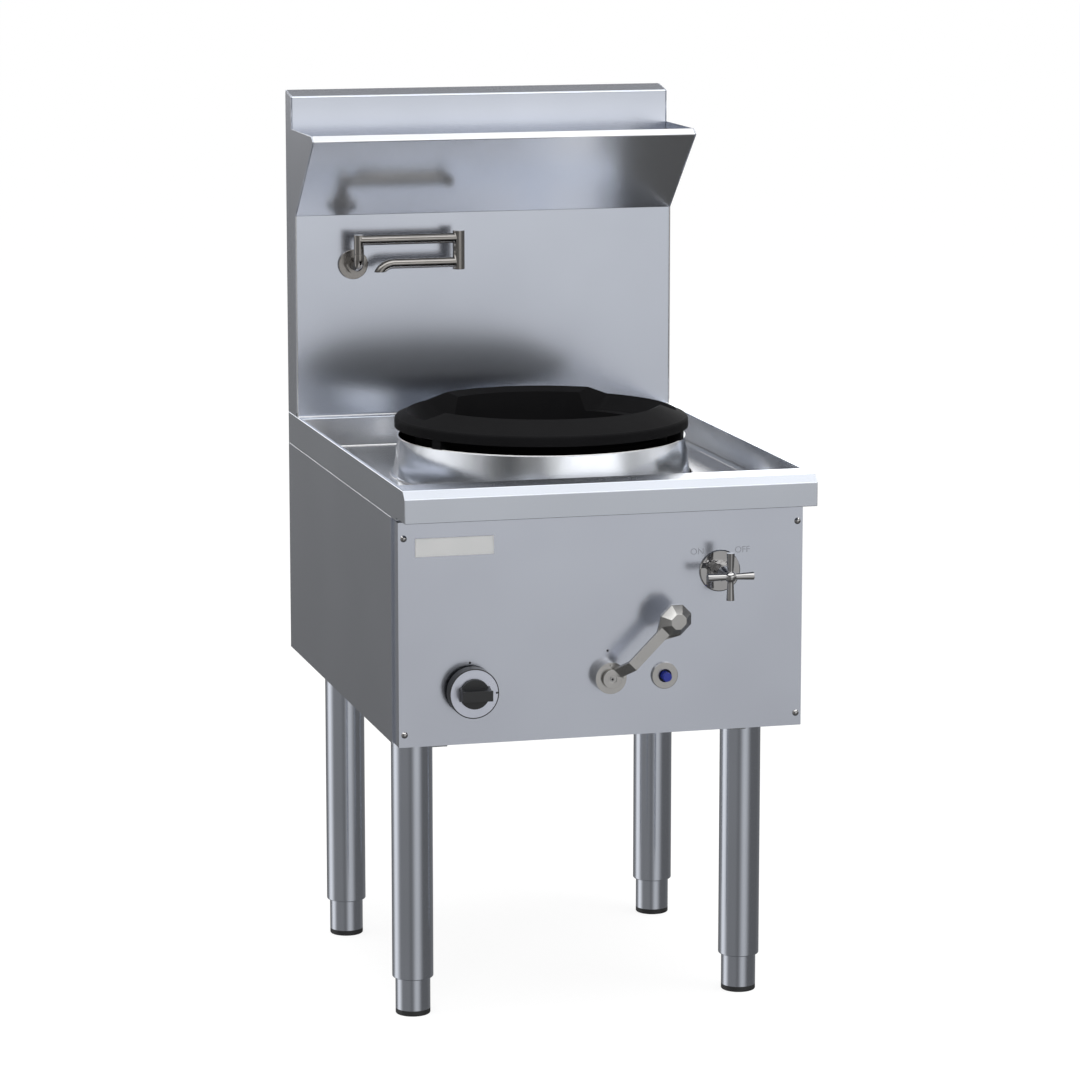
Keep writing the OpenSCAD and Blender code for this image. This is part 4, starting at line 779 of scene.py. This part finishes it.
def floor_paint(studio):
    """Matt white floor that looks white and keeps a light shadow."""
    material = bpy.data.materials.new("Pale studio floor")
    material.use_nodes = True
    tree = material.node_tree
    tree.nodes.clear()
    matt = add(tree, "ShaderNodeBsdfDiffuse", {"Color": tuple(studio.floor_colour)})
    veil = add(tree, "ShaderNodeBsdfDiffuse", {"Color": (*[studio.floor_shadow] * 3, 1.0)})
    glow = add(tree, "ShaderNodeEmission", {
        "Strength": 1.0 - studio.floor_shadow * studio.world_light})
    pale = add(tree, "ShaderNodeAddShader", {0: veil.outputs["BSDF"], 1: glow.outputs["Emission"]})
    both = add(tree, "ShaderNodeMixShader", {
        0: seen_directly(tree), 1: matt.outputs["BSDF"], 2: pale.outputs["Shader"]})
    add(tree, "ShaderNodeOutputMaterial", {"Surface": both.outputs["Shader"]})
    return material


def make_floor(studio):
    """A wide flat floor; metal sees the screens in its place."""
    half = 80
    bm = bmesh.new()
    corners = ((-half, -half), (half, -half), (half, half), (-half, half))
    bm.faces.new([bm.verts.new((x, y, 0)) for x, y in corners])
    mesh = bpy.data.meshes.new("floor")
    bm.to_mesh(mesh)
    bm.free()
    mesh.materials.append(floor_paint(studio))
    sheet = put_object("floor", mesh)
    sheet.visible_glossy = False


def make_world(studio):
    """White to the eye and to reflections, softer as a light."""
    world = bpy.data.worlds.new("Studio")
    bpy.context.scene.world = world
    world.use_nodes = True
    tree = world.node_tree
    tree.nodes.clear()
    strength = add(tree, "ShaderNodeMapRange", {
        "Value": seen_directly(tree), "To Min": studio.world_light, "To Max": 1.0})
    back = add(tree, "ShaderNodeBackground", {
        "Color": tuple(studio.world_colour), "Strength": strength.outputs["Result"]})
    add(tree, "ShaderNodeOutputWorld", {"Surface": back.outputs["Background"]})


def make_camera(studio):
    """The photograph's viewpoint."""
    data = bpy.data.cameras.new("Photo view")
    full_frame = 36
    data.sensor_width = full_frame
    data.lens = studio.lens
    camera = put_object("Photo view", data)
    camera.location = (studio.camera_x, studio.camera_y, studio.camera_z)
    camera.rotation_euler = (math.radians(90 - studio.camera_pitch), 0,
                             -math.radians(studio.camera_yaw))
    bpy.context.scene.camera = camera


# Light that metal gets from round the range, by compass angle from the front towards the
# right, in degrees: a few soft bright screens with dark gaps, as between a studio's screens.
# Below the level there is one at the left and one in front; above it there are a wide one in
# front, one at each side and a bright one behind. A tone passes softly into the next.
SCREENS_BELOW = ((-180, 0.15), (-160, 0.17), (-140, 0.25), (-125, 0.8), (-115, 0.85),
                 (-80, 0.2), (-40, 0.2), (-20, 0.15), (10, 0.5), (15, 0.5), (50, 0.12),
                 (90, 0.12), (150, 0.2), (180, 0.15))
SCREENS_ABOVE = ((-180, 2), (-170, 2), (-140, 0.3), (-105, 1.05), (-40, 0.1), (-20, 0.25),
                 (15, 1.3), (40, 1.3), (60, 0.5), (105, 1.05), (130, 0.8), (165, 2.2),
                 (180, 2))
# The brightest tone, of which the ramps hold every other tone as a share
SCREEN_TOP = 2.3
# A tone for ways straight down and three for ways ever further up, each with the slopes
# between which it goes or comes. A slope is the height that a way gains over its length.
SCREEN_UNDER = (0.1, -0.9, -0.55)
SCREENS_UP = ((0.14, 0.29, 0.41), (SCREEN_TOP, 0.5, 0.78), (1.15, 0.84, 0.95))


def tone_ramp(tree, value, stops):
    """A smooth grey ramp through (place, tone) stops, both from 0 to 1."""
    anywhere = 0.5
    ramp = add(tree, "ShaderNodeValToRGB", {"Fac": value})
    ramp.color_ramp.interpolation = "EASE"
    points = ramp.color_ramp.elements
    while len(points) < len(stops):
        points.new(anywhere)
    for point, (place, tone) in zip(points, stops):
        point.position = place
        point.color = (tone, tone, tone, 1.0)
    return ramp.outputs["Color"]


def screen_paint():
    """Tones of the screens round the range, by compass angle and slope."""
    material = bpy.data.materials.new("Studio screens")
    material.use_nodes = True
    tree = material.node_tree
    tree.nodes.clear()
    place = add(tree, "ShaderNodeTexCoord")
    way = add(tree, "ShaderNodeVectorMath", {0: place.outputs["Object"]}, operation="NORMALIZE")
    axes = add(tree, "ShaderNodeSeparateXYZ", {"Vector": way.outputs["Vector"]})
    # atan2(x, -y) is 0 at the front and grows towards the right
    front = add(tree, "ShaderNodeMath", {0: axes.outputs["Y"], 1: -1.0}, operation="MULTIPLY")
    compass = add(tree, "ShaderNodeMath", {
        0: axes.outputs["X"], 1: front.outputs["Value"]}, operation="ARCTAN2")
    turn = add(tree, "ShaderNodeMapRange", {
        "Value": compass.outputs["Value"], "From Min": -math.pi, "From Max": math.pi})

    def bands(table):
        """The tones of a table, by compass angle."""
        stops = [((a + 180) / 360, tone / SCREEN_TOP) for a, tone in table]
        return tone_ramp(tree, turn.outputs["Result"], stops)

    def between(low, high, start, end):
        """Passes from one tone to another as a way's slope goes from start to end."""
        share = add(tree, "ShaderNodeMapRange", {
            "Value": axes.outputs["Z"], "From Min": start, "From Max": end},
            interpolation_type="SMOOTHSTEP")
        mixed = add(tree, "ShaderNodeMix", {
            "Factor": share.outputs["Result"], "A": low, "B": high}, data_type="RGBA")
        return mixed.outputs["Result"]

    def grey(tone):
        """A single tone, held as a share of the brightest."""
        return (*[tone / SCREEN_TOP] * 3, 1.0)

    # The screens below get lighter towards the level
    gain = add(tree, "ShaderNodeMapRange", {
        "Value": axes.outputs["Z"], "From Min": -0.2, "From Max": -0.05,
        "To Min": 1.0, "To Max": 1.4})
    lifted = add(tree, "ShaderNodeVectorMath", {
        0: bands(SCREENS_BELOW), "Scale": gain.outputs["Result"]}, operation="SCALE")
    # The level, where the screens below pass into those above
    tones = between(lifted.outputs["Vector"], bands(SCREENS_ABOVE), -0.01, 0.07)
    under, start, end = SCREEN_UNDER
    tones = between(grey(under), tones, start, end)
    for tone, start, end in SCREENS_UP:
        tones = between(tones, grey(tone), start, end)
    glow = add(tree, "ShaderNodeEmission", {"Color": tones, "Strength": SCREEN_TOP})
    add(tree, "ShaderNodeOutputMaterial", {"Surface": glow.outputs["Emission"]})
    return material


def make_screens():
    """A sphere of screens round the range that only glossy rays see."""
    reach = 20
    bm = bmesh.new()
    bmesh.ops.create_icosphere(bm, subdivisions=4, radius=reach)
    mesh = bpy.data.meshes.new("screens")
    bm.to_mesh(mesh)
    bm.free()
    mesh.materials.append(screen_paint())
    screens = put_object("screens", mesh)
    screens.visible_camera = False
    screens.visible_diffuse = False
    screens.visible_transmission = False
    screens.visible_shadow = False


def make_stage(studio):
    """Floor, screens, lamps, world and camera."""
    bpy.context.scene.view_settings.view_transform = "Standard"
    make_floor(studio)
    make_screens()
    soft_box("Top light", (3.2, 3.2), studio.top_power, (0.2, -0.4, 3.8))
    soft_box("Front light", (2.6, 2.2), studio.front_power, (-1.6, -4.2, 2.6))
    soft_box("Right light", (1.6, 2.6), studio.right_power, (3.4, -2.6, 2.0))
    make_world(studio)
    make_camera(studio)


# Settings, operators and panel

def metres(name, description, default):
    """A length property in metres."""
    return FloatProperty(name=name, description=description, default=default, unit="LENGTH",
                         subtype="DISTANCE", precision=5)


def colour(name, description, hex_colour):
    """A colour property, from its sRGB hex."""
    return FloatVectorProperty(name=name, description=description, default=linear(hex_colour),
                               size=4, min=0, max=1, subtype="COLOR")


class RangeSizes(bpy.types.PropertyGroup):
    """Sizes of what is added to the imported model."""

    sheet_round: metres("Sheet edges", "Radius of folded sheet edges", 0.6 * MM)
    fold_round: metres("Fold edges", "Radius of the splashback's folds", 2.2 * MM)
    hob_round: metres("Hob edges", "Radius of the hob's pressed edges", 1.9 * MM)
    cast_round: metres("Cast edges", "Radius of the wok ring's cast edges", 1.8 * MM)
    lever_round: metres("Lever edges", "Radius of the lever's edges", 1.2 * MM)
    head_round: metres("Lever head edges", "Radius of the lever head's edges", 3.6 * MM)
    turned_round: metres("Turned edges", "Radius of turned and plated edges", 0.7 * MM)
    moulded_round: metres("Moulded edges", "Radius of plastic edges", 1.4 * MM)
    small_round: metres("Small edges", "Radius of small parts' edges", 0.25 * MM)
    block_reach: metres("Block reach", "Furthest place of a bronze block across", 225 * MM)
    seam_radius: metres("Seam radius", "Radius of the splashback's weld seams", 0.8 * MM)
    scoop_depth: metres("Scoop depth", "Least depth of the ring's scoops under its top", 15 * MM)
    web_thick: metres("Web thickness", "Thickness of the web at the ring's scoops", 2 * MM)
    web_width: metres("Web width", "Width of the web at the ring's scoops", 18 * MM)
    fall_width: metres("Well falls", "Width of the raised sides of the well's floor", 18 * MM)
    rim_bead: metres("Chimney bead", "Radius of the chimney's rolled rim and weld", 1.1 * MM)
    fold_bead: metres("Side fold", "Radius of the side sheets' folded top edge", 1.5 * MM)
    # The index dots are painted shade in the panel's holes
    index_radius: metres("Index dots", "Radius of the black dots on the panel", 1.7 * MM)
    knob_index: metres("Knob index", "Dot's height above the knob's axis", 39.5 * MM)
    lever_index: metres("Lever index", "Dot's height above the lever's axis", 36.5 * MM)
    pointer_radius: metres("Pointer dot", "Radius of the knob's pointer dot", 1.6 * MM)
    print_rise: metres("Print", "Thickness of printed marks", 0.1 * MM)
    mark_spread: metres("Mark spread", "Words' distance from the tap's axis", 33.5 * MM)
    mark_rise: metres("Mark rise", "Words' height above the tap's axis", 28.5 * MM)
    mark_height: metres("Mark height", "Size of the words beside the tap", 13 * MM)


class RangeColours(bpy.types.PropertyGroup):
    """Colours of the finishes, with two for each row of TONES."""

    well: colour("Well", "Neutral grey of the hob's well", "#dddee1")


for key, (label, own, shade) in TONES.items():
    RangeColours.__annotations__.update({
        key: colour(label, f"{label}: the finish's own colour", own),
        f"{key}_shade": colour(f"{label}, shade", f"{label}: what its pattern passes into", shade),
    })


class StudioSettings(bpy.types.PropertyGroup):
    """Camera and lights."""

    camera_x: metres("Camera X", "Camera's place across", -1.5891)
    camera_y: metres("Camera Y", "Camera's place, front to back", -5.9738)
    camera_z: metres("Camera Z", "Camera's height", 1.7499)
    camera_yaw: FloatProperty(name="Yaw", description="Turn to the right, degrees", default=14.88)
    camera_pitch: FloatProperty(name="Pitch", description="Tilt down, degrees", default=10.07)
    lens: FloatProperty(name="Lens", description="Focal length, millimetres", default=140.26)
    top_power: FloatProperty(name="Top light", description="Power", default=70, unit="POWER")
    front_power: FloatProperty(name="Front light", description="Power", default=60, unit="POWER")
    right_power: FloatProperty(name="Right light", description="Power", default=14, unit="POWER")
    floor_shadow: FloatProperty(name="Floor shadow", description="Depth of the shadow",
                                default=0.25, subtype="FACTOR")
    world_light: FloatProperty(name="World light", description="Strength as a light", default=0.6)
    world_colour: colour("World colour", "Colour of the surroundings", "#ffffff")
    floor_colour: colour("Floor colour", "Colour that the floor throws back", "#ececec")


class RANGE_OT_finishes(bpy.types.Operator):
    """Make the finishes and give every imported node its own"""

    bl_idname = "wokrange.finishes"
    bl_label = "Finishes"

    def execute(self, context):
        FINISH.update(make_finishes(context.scene.range_colours))
        dress_nodes()
        return {"FINISHED"}


class RANGE_OT_cabinet(bpy.types.Operator):
    """Round the cabinet's folded sheets"""

    bl_idname = "wokrange.cabinet"
    bl_label = "Cabinet"

    def execute(self, context):
        sizes = context.scene.range_sizes
        round_edges(["side_panel_left", "side_panel_right", "rear_panel", "front_panel"],
                    sizes.sheet_round)
        side_folds(sizes)
        round_edges(["panel_screws", "badge_plate"], sizes.small_round)
        return {"FINISHED"}


class RANGE_OT_splashback(bpy.types.Operator):
    """Round the splashback's sheets and add their weld seams"""

    bl_idname = "wokrange.splashback"
    bl_label = "Splashback"

    def execute(self, context):
        sizes = context.scene.range_sizes
        round_edges(["splash_riser", "splash_side_left", "splash_side_right", "deflector"],
                    sizes.fold_round)
        seal_seams(sizes)
        return {"FINISHED"}


class RANGE_OT_hob(bpy.types.Operator):
    """Round the hob, the chimney and the wok ring"""

    bl_idname = "wokrange.hob"
    bl_label = "Hob and ring"

    def execute(self, context):
        sizes = context.scene.range_sizes
        round_edges(["hob_top"], sizes.hob_round)
        round_edges(["chimney"], sizes.sheet_round)
        chimney_beads(sizes)
        well_welds(sizes)
        round_edges(["wok_ring"], sizes.cast_round)
        scoop_web(sizes)
        return {"FINISHED"}


class RANGE_OT_controls(bpy.types.Operator):
    """Round the controls and print the tap's two words"""

    bl_idname = "wokrange.controls"
    bl_label = "Controls"

    def execute(self, context):
        sizes = context.scene.range_sizes
        round_edges(["lever_arm"], sizes.lever_round)
        round_edges(["lever_head"], sizes.head_round, steps=4)
        round_edges(["lever_collar", "igniter_flange", "tap_flange", "tap_cross"],
                    sizes.turned_round)
        round_edges(["knob_body", "igniter_button"], sizes.moulded_round)
        knob_pointer(sizes)
        panel_hole_shade(sizes)
        lever_socket_shade()
        write_marks(sizes)
        return {"FINISHED"}


class RANGE_OT_faucet(bpy.types.Operator):
    """Round the swing spout's parts"""

    bl_idname = "wokrange.faucet"
    bl_label = "Faucet"

    def execute(self, context):
        sizes = context.scene.range_sizes
        round_edges(["faucet_flange", "faucet_nut", "faucet_riser", "faucet_arm", "faucet_spout"],
                    sizes.turned_round)
        return {"FINISHED"}


class RANGE_OT_legs(bpy.types.Operator):
    """Round the legs and their adjustable feet"""

    bl_idname = "wokrange.legs"
    bl_label = "Legs"

    def execute(self, context):
        sizes = context.scene.range_sizes
        corners = [f"{end}_{side}" for end in ("front", "rear") for side in ("left", "right")]
        round_edges([f"{part}_{corner}" for part in ("leg", "foot") for corner in corners],
                    sizes.small_round)
        round_edges([f"cap_{corner}" for corner in corners], sizes.moulded_round)
        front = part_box("leg_front_left")[1].y

        def is_block(middle):
            return middle.y < front and abs(middle.x) < sizes.block_reach

        round_edges(["leg_sockets"], sizes.small_round, finish="bronze", keep=is_block,
                    suffix="blocks")
        round_edges(["leg_sockets"], sizes.small_round, keep=lambda m: not is_block(m))
        return {"FINISHED"}


class RANGE_OT_stage(bpy.types.Operator):
    """Set up the floor, lights and camera"""

    bl_idname = "wokrange.stage"
    bl_label = "Stage"

    def execute(self, context):
        make_stage(context.scene.range_studio)
        return {"FINISHED"}


class RANGE_PT_panel(bpy.types.Panel):
    """Sidebar panel that lists the steps and their settings"""

    bl_idname = "RANGE_PT_panel"
    bl_label = "Wok range"
    bl_space_type = "VIEW_3D"
    bl_region_type = "UI"
    bl_category = "Wok range"

    def draw(self, context):
        layout = self.layout
        for step in STEPS:
            layout.operator(step.bl_idname)
        scene = context.scene
        for group in (scene.range_sizes, scene.range_colours, scene.range_studio):
            box = layout.box()
            for key in group.__annotations__:
                box.prop(group, key)


STEPS = (RANGE_OT_stage, RANGE_OT_finishes, RANGE_OT_cabinet, RANGE_OT_splashback,
         RANGE_OT_hob, RANGE_OT_controls, RANGE_OT_faucet, RANGE_OT_legs)
CLASSES = (RangeSizes, RangeColours, StudioSettings, *STEPS, RANGE_PT_panel)


def register():
    for cls in CLASSES:
        bpy.utils.register_class(cls)
    bpy.types.Scene.range_sizes = PointerProperty(type=RangeSizes)
    bpy.types.Scene.range_colours = PointerProperty(type=RangeColours)
    bpy.types.Scene.range_studio = PointerProperty(type=StudioSettings)


def unregister():
    del bpy.types.Scene.range_studio
    del bpy.types.Scene.range_colours
    del bpy.types.Scene.range_sizes
    for cls in reversed(CLASSES):
        bpy.utils.unregister_class(cls)


def main():
    register()
    for step in STEPS:
        group, name = step.bl_idname.split(".")
        getattr(getattr(bpy.ops, group), name)()


if __name__ == "__main__":
    main()
